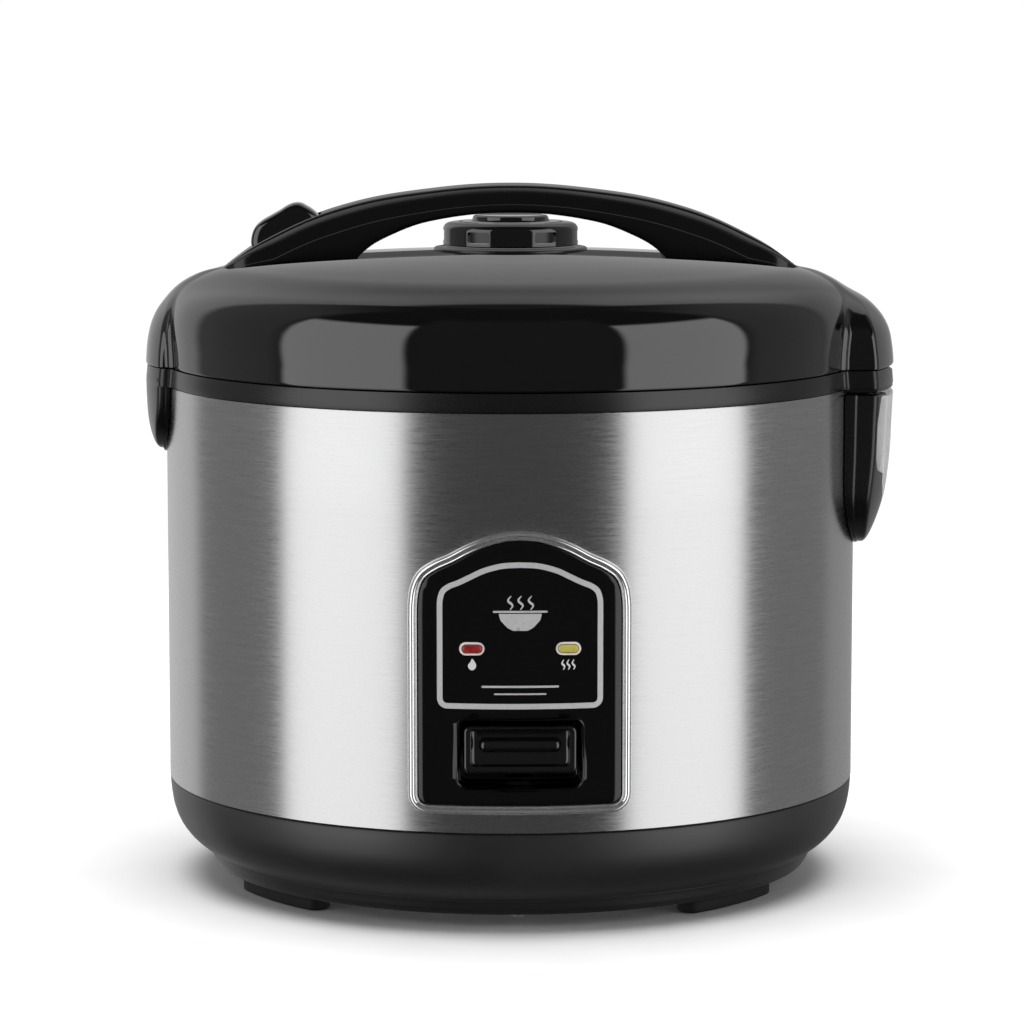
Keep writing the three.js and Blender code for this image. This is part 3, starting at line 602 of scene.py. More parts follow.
for i, deg in enumerate((-55, 48, 125, 228)):
    r0, r1, half = 99.5, 110.0, 11.2
    pts = [polar(deg - half + 2 * half * k / 14, r1) for k in range(15)]
    rm, rr = (r0 + r1) / 2, (r1 - r0) / 2
    ca = polar(deg + half, rm)
    ru, rv = np.array(polar(deg + half, 1.0)), np.array((math.cos(math.radians(deg + half)), math.sin(math.radians(deg + half))))
    pts += [tuple(np.array(ca) + rr * (ru * math.cos(t) + rv * 0.72 * math.sin(t))) for t in np.linspace(0, PI, 9)[1:-1]]
    pts += [polar(deg - half + 2 * half * k / 14, r0) for k in range(14, -1, -1)]
    cb = polar(deg - half, rm)
    ru, rv = np.array(polar(deg - half, 1.0)), np.array((math.cos(math.radians(deg - half)), math.sin(math.radians(deg - half))))
    pts += [tuple(np.array(cb) + rr * (-ru * math.cos(t) - rv * 0.72 * math.sin(t))) for t in np.linspace(0, PI, 9)[1:-1]]
    ring = lambda z, d: [(p[0], p[1], z) for p in (inset(pts, d) if d else pts)]
    g = loft([ring(0.0, 1.0), ring(0.12, 0.55), ring(0.45, 0.2), ring(0.95, 0.0), ring(3.9, 0.0), ring(4.5, 0.25), ring(4.7, 0.7)])
    f = make("foot_pad_%d" % (i + 1), g.v, g.f, RUBBER, "root", "foot_%d" % (i + 1), "foot_rubber", 40)

R = 130.0
sleeve_profile = [(129.85, 38.2), (130.0, 38.4)] + [(130.0, z) for z in (45.6, 47.0, 52.0, 73.0, 82.0, 96.0, 113.0, 125.0, 150.0, 186.6)] + [(129.85, 187.0), (129.35, 187.0), (129.2, 186.8)]
sleeve_profile += [(129.2, z) for z in (150.0, 125.0, 113.0, 96.0, 82.0, 73.0, 52.0, 47.0, 45.6, 38.6)] + [(129.35, 38.2)]
g = rev(sleeve_profile, 256)
shell = make("steel_sleeve", g.v, g.f, STEEL, "root", "outer_shell", "brushed_steel_body", 30)
rr = lambda x0, x1, z0, z1, r: fillet([(x0, z0, r), (x1, z0, r), (x1, z1, r), (x0, z1, r)], True, 4)
cut(shell, [
    prism(rr(-23.1, 23.1, 53.9, 80.4, 1.5), "y", -140, -100),
    prism(rr(-22.5, 22.5, 99, 110, 2.0), "y", -140, -100),
    prism(rr(-14, 14, 48.4, 71.6, 1.5), "y", 100, 140),
], angle=30)


# ---------------------------------------------------------------- control panel
PANEL_TOP = [(39.5, 108.0), (39.5, 116.0), (39.35, 121.0), (38.4, 126.6), (35.9, 131.4), (31.2, 135.0), (25.0, 138.0), (19.0, 141.3), (12.0, 144.2), (5.5, 145.85), (0.0, 146.2)]


def panel_outline():
    half = fillet([(0, 45.3), (39.5, 45.3, 7.0), (39.5, 108.0)], False, 10)
    half = half[:-1]
    low = []
    for a, b in zip(half, half[1:] + [(39.5, 108.0)]):
        n = max(1, int(math.hypot(b[0] - a[0], b[1] - a[1]) / 1.6))
        low += [(a[0] + (b[0] - a[0]) * k / n, a[1] + (b[1] - a[1]) * k / n) for k in range(n)]
    up = smooth_line(PANEL_TOP, 1.0)
    h = low + up
    return h + [(-x, z) for x, z in reversed(h[1:-1])]


def on_cyl(x, z, Rr):
    return (x, -math.sqrt(max(Rr * Rr - x * x, 1.0)), z)


def sweep(outline, section):
    """A closed section of (inset, radius) carried round a closed outline on the body's cylinder."""
    rings = [[on_cyl(x, z, Rr) for x, z in inset(outline, u)] for u, Rr in section]
    return loft(rings, loop=True)


def skin(outer, holes, Rr, step=2.2):
    """A triangulated sheet on the cylinder of radius Rr, inside outer and outside the holes."""
    from mathutils.geometry import delaunay_2d_cdt
    pts, edges = [], []
    for lp in [outer] + holes:
        k = len(pts)
        pts += [Vector(p) for p in lp]
        edges += [(k + i, k + (i + 1) % len(lp)) for i in range(len(lp))]
    loops = [np.array(lp) for lp in [outer] + holes]

    def inside(P, poly):
        x, y = P[:, 0], P[:, 1]
        c = np.zeros(len(P), bool)
        x0, y0 = poly[:, 0], poly[:, 1]
        x1, y1 = np.roll(x0, -1), np.roll(y0, -1)
        for a, b, e, f in zip(x0, y0, x1, y1):
            if b != f:
                hit = ((b > y) != (f > y)) & (x < (e - a) * (y - b) / (f - b) + a)
                c ^= hit
        return c

    def ok(P):
        m = inside(P, loops[0])
        for h in loops[1:]:
            m &= ~inside(P, h)
        return m

    lo, hi = loops[0].min(0), loops[0].max(0)
    gx, gz = np.meshgrid(np.arange(lo[0], hi[0], step), np.arange(lo[1], hi[1], step))
    G = np.stack([gx.ravel(), gz.ravel()], 1)
    keep = ok(G)
    allp = np.concatenate(loops)
    for i in range(0, len(G)):
        if keep[i] and np.min(np.abs(allp - G[i]).max(1)) < step * 0.45:
            keep[i] = False
    pts += [Vector(p) for p in G[keep]]
    v, e, f, *_ = delaunay_2d_cdt(pts, edges, [], 0, 1e-6)
    V = np.array([tuple(p) for p in v])
    tri = [t for t in f]
    cen = np.array([V[list(t)].mean(0) for t in tri])
    good = ok(cen)
    return Geo([on_cyl(x, z, Rr) for x, z in V], [tuple(t) for t, q in zip(tri, good) if q])


def walls(loops3):
    return loft(loops3, caps=False)


OUT = panel_outline()
g = sweep(OUT, [(0.0, 130.3), (-0.02, 131.6), (0.10, 132.4), (0.45, 133.05), (0.95, 133.42), (1.45, 133.48), (1.9, 133.25), (2.25, 132.8), (2.45, 132.45), (2.62, 132.42), (2.8, 132.62), (3.0, 132.66), (3.2, 132.5), (3.2, 130.3)])
make("panel_bezel_chrome", g.v, g.f, TRIM, "root", "panel_bezel", "chrome_trim", 60)

# fascia: front sheet, rolled edge, and back sheet, with the lever's tray and the lamp windows let in
F_R, B_R = 132.3, 130.35
F_OUT = inset(OUT, 3.5)
TRAY = fillet([(-22.75, 54.3, 4.2), (22.75, 54.3, 4.2), (22.75, 80.1, 3.6), (-22.75, 80.1, 3.6)], True, 8)
WELL = fillet([(-21.0, 55.5, 3.0), (21.0, 55.5, 3.0), (21.0, 78.4, 2.6), (-21.0, 78.4, 2.6)], True, 8)
LAMPS = [stadium(-16.9, 104.6, 9.1, 4.8, 10), stadium(16.9, 104.6, 9.1, 4.8, 10)]


def toward(a, b, t):
    return [(p[0] + (q[0] - p[0]) * t, p[1] + (q[1] - p[1]) * t) for p, q in zip(a, b)]


cyl_loop = lambda lp, Rr: [on_cyl(x, z, Rr) for x, z in lp]
flat_loop = lambda lp, y: [(x, y, z) for x, z in lp]
front_in = inset(F_OUT, 0.55)
front = skin(front_in, [TRAY] + LAMPS, F_R)
front.add(walls([cyl_loop(front_in, F_R), cyl_loop(inset(F_OUT, 0.25), F_R - 0.08), cyl_loop(inset(F_OUT, 0.07), F_R - 0.26), cyl_loop(F_OUT, F_R - 0.55), cyl_loop(F_OUT, B_R)]))
back = skin(F_OUT, [inset(TRAY, -0.6)] + LAMPS, B_R)
front.add(Geo(back.v, [f[::-1] for f in back.f]))
for lp in LAMPS:
    front.add(walls([cyl_loop(lp, F_R), cyl_loop(lp, B_R)]))
# the tray: a rolled lip, a sloping frame, then straight walls down to its floor
front.add(walls([
    cyl_loop(TRAY, F_R), cyl_loop(toward(TRAY, WELL, 0.10), F_R + 0.28), cyl_loop(toward(TRAY, WELL, 0.30), F_R + 0.36), cyl_loop(toward(TRAY, WELL, 0.48), F_R + 0.16),
    cyl_loop(toward(TRAY, WELL, 0.62), F_R - 0.35), cyl_loop(toward(TRAY, WELL, 0.92), F_R - 1.9), cyl_loop(WELL, F_R - 2.4), flat_loop(WELL, -124.0), flat_loop(WELL, -118.9),
    flat_loop(inset(WELL, 0.3), -118.2), flat_loop(inset(WELL, 1.0), -118.0),
]))
SLIT = fillet([(-5, 56.0, 1.0), (5, 56.0, 1.0), (5, 69.5, 1.0), (-5, 69.5, 1.0)], True, 3)


def flat_ring(outer, inner, y, flip=False):
    from mathutils.geometry import delaunay_2d_cdt
    pts = [Vector(p) for p in outer + inner]
    n, m = len(outer), len(inner)
    ed = [(i, (i + 1) % n) for i in range(n)] + [(n + i, n + (i + 1) % m) for i in range(m)]
    v, e, f, *_ = delaunay_2d_cdt(pts, ed, [], 0, 1e-6)
    V = [tuple(p) for p in v]
    lo = np.array(inner).min(0)
    hi = np.array(inner).max(0)
    out = []
    for t in f:
        c = np.mean([V[i] for i in t], 0)
        q = np.array(inner)
        x, z = c
        ins = False
        for (a, b), (e2, f2) in zip(q, np.roll(q, -1, 0)):
            if (b > z) != (f2 > z) and x < (e2 - a) * (z - b) / (f2 - b) + a:
                ins = not ins
        if not ins:
            out.append(tuple(t))
    return Geo([(x, y, z) for x, z in V], out)


front.add(flat_ring(inset(WELL, 1.0), SLIT, -118.0))
front.add(walls([flat_loop(SLIT, -118.0), flat_loop(SLIT, -116.5)]))
front.add(flat_ring(inset(TRAY, -0.0), SLIT, -116.5))
front.add(walls([flat_loop(TRAY, -116.5), flat_loop(TRAY, -127.0), cyl_loop(inset(TRAY, -0.6), B_R)]))
make("panel_fascia_gloss", front.v, front.f, PANEL, "root", "panel_fascia", "black_gloss", 38)

# printed border, generic marks and lamp rims, as thin films on the fascia
WIN_TOP = [(29.2, 104.0), (29.2, 112.0), (29.2, 118.5), (29.05, 122.0), (27.9, 125.4), (25.4, 127.4), (22.3, 128.7), (18.2, 130.7), (13.2, 133.1), (6.4, 134.9), (0.0, 135.3)]


def window_outline():
    half = fillet([(0, 83.2), (29.2, 83.2, 3.6), (29.2, 104.0)], False, 8)[:-1]
    low = []
    for a, b in zip(half, half[1:] + [(29.2, 104.0)]):
        n = max(1, int(math.hypot(b[0] - a[0], b[1] - a[1]) / 1.6))
        low += [(a[0] + (b[0] - a[0]) * k / n, a[1] + (b[1] - a[1]) * k / n) for k in range(n)]
    h = low + smooth_line(WIN_TOP, 1.0)
    return h + [(-x, z) for x, z in reversed(h[1:-1])]


FILM = 0.09


def film_ring(name, outline, w, mat, lift=FILM):
    g = sweep(outline, [(0.0, F_R + 0.012), (0.03, F_R + lift), (w - 0.03, F_R + lift), (w, F_R + 0.012)])
    return make(name, g.v, g.f, mat, "root", (), None, 50)


film_ring("print_window_border", window_outline(), 1.95, INK)


def film(name, polys, mat, lift=FILM):
    g = Geo()
    for p in polys:
        n = len(p)
        big = []
        for a, b in zip(p, p[1:] + p[:1]):
            m = max(1, int(math.hypot(b[0] - a[0], b[1] - a[1]) / 1.5))
            big += [(a[0] + (b[0] - a[0]) * k / m, a[1] + (b[1] - a[1]) * k / m) for k in range(m)]
        sk = skin(big, [], F_R + lift, 1.5)
        g.add(sk)
        lo_ = skin(big, [], F_R + 0.012, 1.5)
        g.add(Geo(lo_.v, [f[::-1] for f in lo_.f]))
        g.add(walls([cyl_loop(big, F_R + lift), cyl_loop(big, F_R + 0.012)]))
    return make(name, g.v, g.f, mat, "root", (), None, 50)


def bar2(x0, x1, z, h):
    return fillet([(x0, z - h / 2, h / 2.2), (x1, z - h / 2, h / 2.2), (x1, z + h / 2, h / 2.2), (x0, z + h / 2, h / 2.2)], True, 4)


def curve2(pts, w):
    P = smooth_line(pts, 0.5)
    L, Rr = [], []
    for i, p in enumerate(P):
        a, b = P[max(i - 1, 0)], P[min(i + 1, len(P) - 1)]
        t = np.array([b[0] - a[0], b[1] - a[1]])
        t /= np.linalg.norm(t)
        k = w / 2 * min(1.0, 0.35 + 1.6 * min(i, len(P) - 1 - i) / len(P))
        L.append((p[0] - t[1] * k, p[1] + t[0] * k))
        Rr.append((p[0] + t[1] * k, p[1] - t[0] * k))
    return L + Rr[::-1]


# a plain bowl under three curls of steam, in place of any mark
bowl = fillet([(-7.6, 117.1, 0.3), (7.6, 117.1, 0.3), (7.0, 114.8, 1.5), (4.6, 112.2, 2.0), (2.6, 111.1, 0.5), (-2.6, 111.1, 0.5), (-4.6, 112.2, 2.0), (-7.0, 114.8, 1.5)], True, 5)
steam = [curve2([(x, 118.5), (x + 0.9, 120.0), (x - 0.7, 121.8), (x + 0.4, 123.4)], 0.85) for x in (-3.6, 0.0, 3.6)]
film("print_bowl_symbol", [bowl, bar2(-9.6, 9.6, 118.05 - 0.25, 0.7)] + steam, INK)
# under the lamps: a flame and a warming mark
flame = smooth_line([(-16.9, 101.1), (-15.9, 99.9), (-15.45, 98.7), (-15.9, 97.5), (-16.9, 97.0), (-17.9, 97.5), (-18.35, 98.6), (-17.9, 99.5), (-17.5, 99.9)], 0.4, True)
waves = [curve2([(x, 97.1), (x + 0.5, 98.2), (x - 0.4, 99.4), (x + 0.2, 100.7)], 0.7) for x in (15.1, 16.9, 18.7)]
film("print_lamp_symbols", [flame] + waves, MARK)
film("print_rule_lines", [bar2(-13.6, 13.6, 91.2, 0.75), bar2(-9.2, 9.2, 88.6, 0.55)], INK)

for nm, x, mat, node, sl in (("cook_lens_cap", -16.9, RED, "cook_lens", "lens_red"), ("warm_lens_cap", 16.9, YELLOW, "warm_lens", "lens_yellow")):
    lp = stadium(x, 104.6, 7.1, 2.75, 12)
    g = loft([flat_loop(lp, -128.2), flat_loop(lp, -131.2 + 0.0), flat_loop(inset(lp, 0.1), -131.6), flat_loop(inset(lp, 0.35), -131.85), flat_loop(inset(lp, 0.75), -132.0), flat_loop(inset(lp, 1.15), -132.05)])
    make(nm, g.v, g.f, mat, "root", node, sl, 40)
    outer = stadium(x, 104.6, 8.95, 4.6, 12)
    Y0 = -math.sqrt(F_R ** 2 - x * x)
    g = loft([flat_loop(inset(outer, d) if d else outer, y) for d, y in ((0.0, -128.3), (0.0, Y0 - 0.12), (0.08, Y0 - 0.26), (0.22, Y0 - 0.32), (0.55, Y0 - 0.3), (0.72, Y0 - 0.16), (0.8, Y0 + 0.1), (0.8, -128.3))], loop=True)
    make(nm.replace("lens_cap", "lamp_rim"), g.v, g.f, RING, "root", (), None, 50)

# lever: a dished paddle with a raised rim and a finger ridge, on its arm
PAD = fillet([(-19.9, 60.2, 2.6), (19.9, 60.2, 2.6), (19.9, 77.2, 2.3), (-19.9, 77.2, 2.3)], True, 8)
DISH = fillet([(-17.2, 62.9, 1.9), (17.2, 62.9, 1.9), (17.2, 76.3, 1.7), (-17.2, 76.3, 1.7)], True, 8)
RIDGE = fillet([(-14.6, 67.5, 2.5), (14.6, 67.5, 2.5), (14.6, 72.9, 2.5), (-14.6, 72.9, 2.5)], True, 8)
pad = loft([flat_loop(PAD, -127.4), flat_loop(PAD, -131.6), flat_loop(inset(PAD, 0.12), -132.15), flat_loop(inset(PAD, 0.4), -132.55), flat_loop(inset(PAD, 0.9), -132.75)], caps=False)
pad.add(walls([flat_loop(inset(PAD, 0.9), -132.75), flat_loop(toward(inset(PAD, 0.9), DISH, 0.5), -132.7), flat_loop(toward(inset(PAD, 0.9), DISH, 0.9), -132.45), flat_loop(DISH, -132.0), flat_loop(inset(DISH, 0.35), -130.4), flat_loop(inset(DISH, 0.9), -130.0)]))
pad.add(flat_ring(inset(DISH, 0.9), RIDGE, -130.0))
pad.add(walls([flat_loop(RIDGE, -130.0), flat_loop(inset(RIDGE, 0.12), -130.9), flat_loop(inset(RIDGE, 0.4), -131.75), flat_loop(inset(RIDGE, 0.8), -132.4), flat_loop(inset(RIDGE, 1.25), -132.82), flat_loop(inset(RIDGE, 1.75), -133.05), flat_loop(inset(RIDGE, 2.25), -133.12)]))
last = flat_loop(inset(RIDGE, 2.25), -133.12)
pad.add(Geo(last, [tuple(range(len(last)))]))
first = flat_loop(PAD, -127.4)
pad.add(Geo(first, [tuple(range(len(first)))]))
make("cook_paddle_moulding", pad.v, pad.f, PADDLE_LIT_COPY, "lever", "cook_paddle", "black_gloss", 40)


# ---------------------------------------------------------------- lid cover, rim ring and their lugs
def curve_fn(pts):
    P = np.array(smooth_line(pts, 0.5))
    a, b = P[:, 0], P[:, 1]
    if a[0] > a[-1]:
        a, b = a[::-1], b[::-1]
    return lambda t: np.interp(t, a, b)


# outward reach at y = 0, and half width, as functions of height
X_LATCH = curve_fn([(150.0, 137.9), (190.0, 137.9), (194.4, 137.8), (203.7, 137.0), (211.0, 135.1), (217.0, 131.6), (223.0, 124.9), (227.6, 115.6), (229.3, 110.0), (231.0, 96.0), (237.0, 40.0)])
X_HINGE = curve_fn([(150.0, 144.9), (190.0, 144.9), (194.4, 144.9), (201.0, 144.3), (207.3, 143.0), (213.0, 139.9), (218.7, 134.0), (223.2, 124.9), (227.4, 115.7), (229.2, 110.0), (231.0, 96.0), (237.0, 40.0)])
W_LATCH = curve_fn([(150.0, 27.5), (190.0, 27.5), (200.0, 27.5), (206.0, 27.0), (214.0, 23.8), (221.5, 15.6), (226.5, 7.6), (229.5, 0.0), (238.0, -20.0)])
W_HINGE = curve_fn([(150.0, 44.5), (190.0, 44.5), (198.0, 44.5), (206.0, 43.6), (214.0, 38.6), (221.5, 25.4), (226.5, 12.5), (229.5, 0.0), (238.0, -30.0)])


def smin(a, b, k):
    h = np.clip(0.5 + 0.5 * (b - a) / k, 0, 1)
    return b * (1 - h) + a * h - k * h * (1 - h)


def smax(a, b, k):
    return -smin(-a, -b, k)


def lug(x, y, z, side):
    """Below 0 inside the lug, from the axis outwards."""
    if side < 0:
        R_, X_, W_ = 60.0, X_LATCH, W_LATCH
        u = -x
    else:
        R_, X_, W_ = 100.0, X_HINGE, W_HINGE
        u = x
    yy = np.minimum(np.abs(y), R_ * 0.98)
    drop = R_ - np.sqrt(R_ * R_ - yy * yy)
    return u + drop - X_(z), np.abs(y) - W_(z), u


def solid_ray(theta, zo, phi, rho_dome):
    """Distance along each ray at which the union of dome, lug and the raised band beside it ends."""
    sx, sy = np.sin(theta), -np.cos(theta)
    lo, hi = rho_dome * 0.97, rho_dome * 0.97 + 40.0
    cp, sp = np.cos(phi), np.sin(phi)

    def f(rho):
        x, y, z = rho * cp * sx, rho * cp * sy, zo + rho * sp
        g = rho - rho_dome
        out = g
        for side in (-1, 1):
            reach, wide, u = lug(x, y, z, side)
            wide = np.where(u > 60, wide, 99.0)
            fade = np.interp(z, [208.0, 222.0], [1.0, 0.0])
            kz = np.interp(z, [206.0, 214.0, 221.0, 228.0], [1.0, 1.8, 5.0, 8.0])
            band = smax(g - 1.5 * fade, wide - 2.2, 0.9)
            body = smax(reach, wide, 1.6 + 0.5 * (kz - 1.0))
            out = smin(out, band, 0.8)
            out = smin(out, body, kz)
        return out

    for _ in range(34):
        mid = (lo + hi) / 2
        inside = f(mid) < 0
        lo, hi = np.where(inside, mid, lo), np.where(inside, hi, mid)
    return (lo + hi) / 2


def theta_samples():
    """Angles from the front, closer together at the lugs' sides."""
    t = []
    for centre, a, b in ((90.0, 6.0, 23.5), (270.0, 4.0, 14.6)):
        for s in (-1, 1):
            q = np.arange(a, b, 0.17)
            t += list(centre + s * q)
        t += list(np.arange(centre - a, centre + a + 0.01, 0.9))
    t = np.sort(np.array(t))
    gaps = []
    ring = np.concatenate([t, [t[0] + 360]])
    for p, q in zip(ring[:-1], ring[1:]):
        if q - p > 1.6:
            n = int(math.ceil((q - p) / 1.5))
            gaps += [p + (q - p) * k / n for k in range(1, n)]
    t = np.sort(np.concatenate([t, gaps]) % 360.0)
    keep = np.concatenate([[True], np.diff(t) > 0.05])
    return np.radians(t[keep])


TH = theta_samples()
NT = len(TH)
DOME = smooth_line([(129.62, 200.0), (129.85, 205.5), (129.7, 209.8), (129.0, 214.2), (127.7, 218.0), (125.6, 221.4), (122.7, 224.2), (119.0, 226.4), (114.2, 228.4), (107.5, 230.2), (96.0, 231.6), (80.0, 232.95), (57.0, 234.3), (38.0, 235.15), (22.0, 235.8)], 1.05)
DOME_LOW = [(129.1, 194.4), (129.38, 194.52), (129.5, 194.8), (129.52, 195.6), (129.55, 197.2), (129.6, 198.6)]
rows = []
for r_, z_ in DOME_LOW + DOME:
    if z_ <= 206.0:
        zo, ph, rd = z_, 0.0, r_
    else:
        zo, ph, rd = 206.0, math.atan2(z_ - 206.0, r_), math.hypot(z_ - 206.0, r_)
    n = np.full(NT, 1.0)
    rho = solid_ray(TH, n * zo, n * ph, n * rd)
    rows.append([(q * math.cos(ph) * math.sin(t), -q * math.cos(ph) * math.cos(t), zo + q * math.sin(ph)) for q, t in zip(rho, TH)])
# the mould line at the bottom edge is slightly rolled
low = np.array(rows[3])
for k, ins in ((0, 0.42), (1, 0.14), (2, 0.02)):
    q = np.array(rows[k])
    rad = np.hypot(low[:, 0], low[:, 1])
    s = (rad - ins) / rad
    q[:, 0], q[:, 1] = low[:, 0] * s, low[:, 1] * s
    rows[k] = [tuple(p) for p in q]
IN = smooth_line([(22, 232.8), (57, 231.2), (90, 228.9), (107, 226.8), (117, 224.2), (123.2, 219.6), (126.0, 212.0), (126.5, 204.0), (126.5, 194.4)], 4.0)
for r_, z_ in IN:
    rows.append([(r_ * math.sin(t), -r_ * math.cos(t), z_) for t in TH])
g = loft(rows, loop=True)
cover = make("lid_cover_gloss", g.v, g.f, GLOSS, "lid", "lid_cover", "black_gloss", 40)

ZD = curve_fn([(0.0, 236.3), (22.0, 235.8), (38.0, 235.15), (57.0, 234.3), (80.0, 232.95), (96.0, 231.6), (108.0, 230.2), (114.5, 228.8), (119.6, 227.4)])
xs, ys = np.linspace(-114, 114, 115), np.linspace(-20.1, 20.1, 31)
gx, gy = np.meshgrid(xs, ys, indexing="ij")
rr_ = np.hypot(gx, gy)
t = np.clip((np.abs(gx) - 99.0) / 13.0, 0, 1)
fl = ZD(rr_) - 1.9 + (t * t * (3 - 2 * t)) * 2.5 + np.clip((np.abs(gy) - 14.8) / 4.2, 0, 1.3) * 1.9
nx, ny = gx.shape
trough = Geo()
trough.v = [(a, b, c) for a, b, c in zip(gx.ravel(), gy.ravel(), fl.ravel())] + [(a, b, 250.0) for a, b in zip(gx.ravel(), gy.ravel())]
o2 = nx * ny
for i in range(nx - 1):
    for j in range(ny - 1):
        a = i * ny + j
        trough.f.append((a, a + 1, a + ny + 1, a + ny))
        trough.f.append((o2 + a, o2 + a + ny, o2 + a + ny + 1, o2 + a + 1))
for i in range(nx - 1):
    for j in (0, ny - 1):
        a, b = i * ny + j, (i + 1) * ny + j
        trough.f.append((a, b, o2 + b, o2 + a) if j == 0 else (b, a, o2 + a, o2 + b))
for j in range(ny - 1):
    for i in (0, nx - 1):
        a, b = i * ny + j, i * ny + j + 1
        trough.f.append((b, a, o2 + a, o2 + b) if i == 0 else (a, b, o2 + b, o2 + a))
cut(cover, [trough, cyl((-85, 0, 220), (-85, 0, 240), 2.6, 24), cyl((-64, 0, 220), (-64, 0, 240), 1.9, 20), cyl((80, 0, 220), (80, 0, 240), 1.9, 20)], angle=40)

HX, HZ = 139.2, 188.5
knuckles = []
for s in (-1, 1):
    y0, y1 = sorted((s * 8.0, s * 15.0))
    prof = [(HX + 3.0, 195.4), (HX + 3.0, HZ)] + arc_pts(HX, HZ, 3.0, 0, -180, 16)[1:-1] + [(HX - 3.0, HZ), (HX - 3.0, 195.4)]
    knuckles.append(prism(prof, "y", y0, y1, 0.35, 2))
bosses = [cyl((*polar(a, 116), 198), (*polar(a, 116), 225.4), 4.0, 28) for a in (45, 225)]
cut(cover, knuckles + bosses, "UNION", angle=40)
cut(cover, [cyl((HX, -25, HZ), (HX, 25, HZ), 1.8, 24)] + [cyl((*polar(a, 116), 190), (*polar(a, 116), 212), 1.8, 20) for a in (45, 225)], angle=40)


# rim ring: the same plan, one running gap below the lid
def skin2(outer, holes, fn, step=2.0):
    g = skin(outer, holes, 1e4, step)
    return Geo([fn(p[0], p[2]) for p in g.v], g.f)


def pillow(outline, inner, outer, levels, step=2.0):
    """A moulded pad: its outline (a, b) stands on inner(a, b) and rises by levels of (inset, share) to outer(a, b)."""
    def pt(a, b, t):
        p, q = np.array(inner(a, b), float), np.array(outer(a, b), float)
        return tuple(p + (q - p) * t)
    loops, g = [], Geo()
    for ins, t in levels:
        lp = inset(outline, ins) if ins else list(outline)
        loops.append([pt(a, b, t) for a, b in lp])
    g.add(loft(loops, caps=False))
    ins, t = levels[-1]
    g.add(skin2(inset(outline, ins), [], lambda a, b: pt(a, b, t), step))
    ins, t = levels[0]
    bk = skin2(inset(outline, ins) if ins else list(outline), [], lambda a, b: pt(a, b, t), step)
    g.add(Geo(bk.v, [f[::-1] for f in bk.f]))
    return g


def dense(poly, step=1.6):
    out = []
    for a, b in zip(poly, poly[1:] + poly[:1]):
        m = max(1, int(math.hypot(b[0] - a[0], b[1] - a[1]) / step))
        out += [(a[0] + (b[0] - a[0]) * k / m, a[1] + (b[1] - a[1]) * k / m) for k in range(m)]
    return out


prof = [(130.1, 187.3), (130.2, 187.5), (130.0, 190.0), (129.72, 193.5), (129.55, 193.98), (129.2, 194.1)]
rows = []
for r_, z_ in prof:
    rho = solid_ray(TH, np.full(NT, 194.8), np.zeros(NT), np.full(NT, 129.7))
    rho = rho + np.where(rho < 130.6, r_ - 129.7, r_ - 130.22)
    rows.append([(q * math.sin(t), -q * math.cos(t), z_) for q, t in zip(rho, TH)])
for r_, z_ in [(120.4, 194.1), (120.0, 193.7), (119.5, 189.0), (119.0, 188.6), (113.0, 188.6), (112.6, 188.2), (112.6, 183.9), (113.0, 183.5), (128.5, 183.5), (128.8, 183.8), (128.8, 187.3)]:
    rows.append([(r_ * math.sin(t), -r_ * math.cos(t), z_) for t in TH])
g = loft(rows, loop=True)
ring = make("rim_ring_satin", g.v, g.f, SATIN, "root", "rim_ring", "black_satin", 32)

TONGUE = dense([(-27.5, 192.5)] + [(27.5 * math.cos(a), 188.2 + 27.5 * math.sin(a)) for a in np.linspace(PI, 2 * PI, 41)] + [(27.5, 192.5)], 1.5)
X_TIP = curve_fn([(156.0, 126.0), (160.7, 131.2), (162.4, 133.0), (164.9, 134.7), (171.7, 136.7), (183.2, 137.6), (194.1, 137.6)])


def steel_x(y, Rr=130.32):
    return math.sqrt(Rr * Rr - y * y)


def arc_drop(y, Rr):
    return Rr - math.sqrt(max(Rr * Rr - y * y, 1.0))


tongue = pillow(TONGUE, lambda y, z: (-steel_x(y), y, z), lambda y, z: (-max(float(X_TIP(z)) - arc_drop(y, 60.0), steel_x(y) + 0.25), y, z),
                [(0.02, 0.0), (0.02, 0.32), (0.12, 0.40), (0.75, 0.42), (0.85, 0.34), (1.05, 0.34), (1.15, 0.45), (1.2, 0.84), (1.5, 0.94), (2.1, 0.99), (3.0, 1.0)], 2.0)
make("latch_tongue_pad", tongue.v, tongue.f, SATIN, "root", (), None, 40)
block_outline = dense(fillet([(-44.4, 185.9, 0.6), (44.4, 185.9, 0.6), (44.4, 187.2, 0.1), (-44.4, 187.2, 0.1)], True, 3), 1.5)
block = pillow(block_outline, lambda y, z: (steel_x(y, 130.32), y, z), lambda y, z: (144.7 - arc_drop(y, 100.0), y, z),
               [(0.0, 0.0), (0.0, 0.93), (0.12, 0.985), (0.45, 1.0)], 2.0)
lower = make("hinge_block_underside", block.v, block.f, SATIN, "root", (), None, 32)
quarter = [(HX, 200.0), (150.0, 200.0), (150.0, HZ), (HX + 5.6, HZ)] + arc_pts(HX, HZ, 5.6, 0, 90, 18)[1:]
gap = prism([(HX - 3.3, 180.0), (150.0, 180.0), (150.0, 200.0), (HX - 3.3, 200.0)], "y", -15.4, 15.4)
cut(ring, [prism([(-127.2, -6.8), (-116.2, -6.8), (-116.2, 6.8), (-127.2, 6.8)], "z", 180, 200)], angle=32)
cut(ring, [prism(quarter, "y", -60, 60)], angle=32)
cut(ring, [gap], angle=32)
cut(ring, [cyl((HX, -24.0, HZ), (HX, 24.0, HZ), 1.8, 28)], angle=32)
cut(lower, [gap], angle=32)
cut(lower, [cyl((HX, -24.0, HZ), (HX, 24.0, HZ), 1.8, 28)], angle=32)


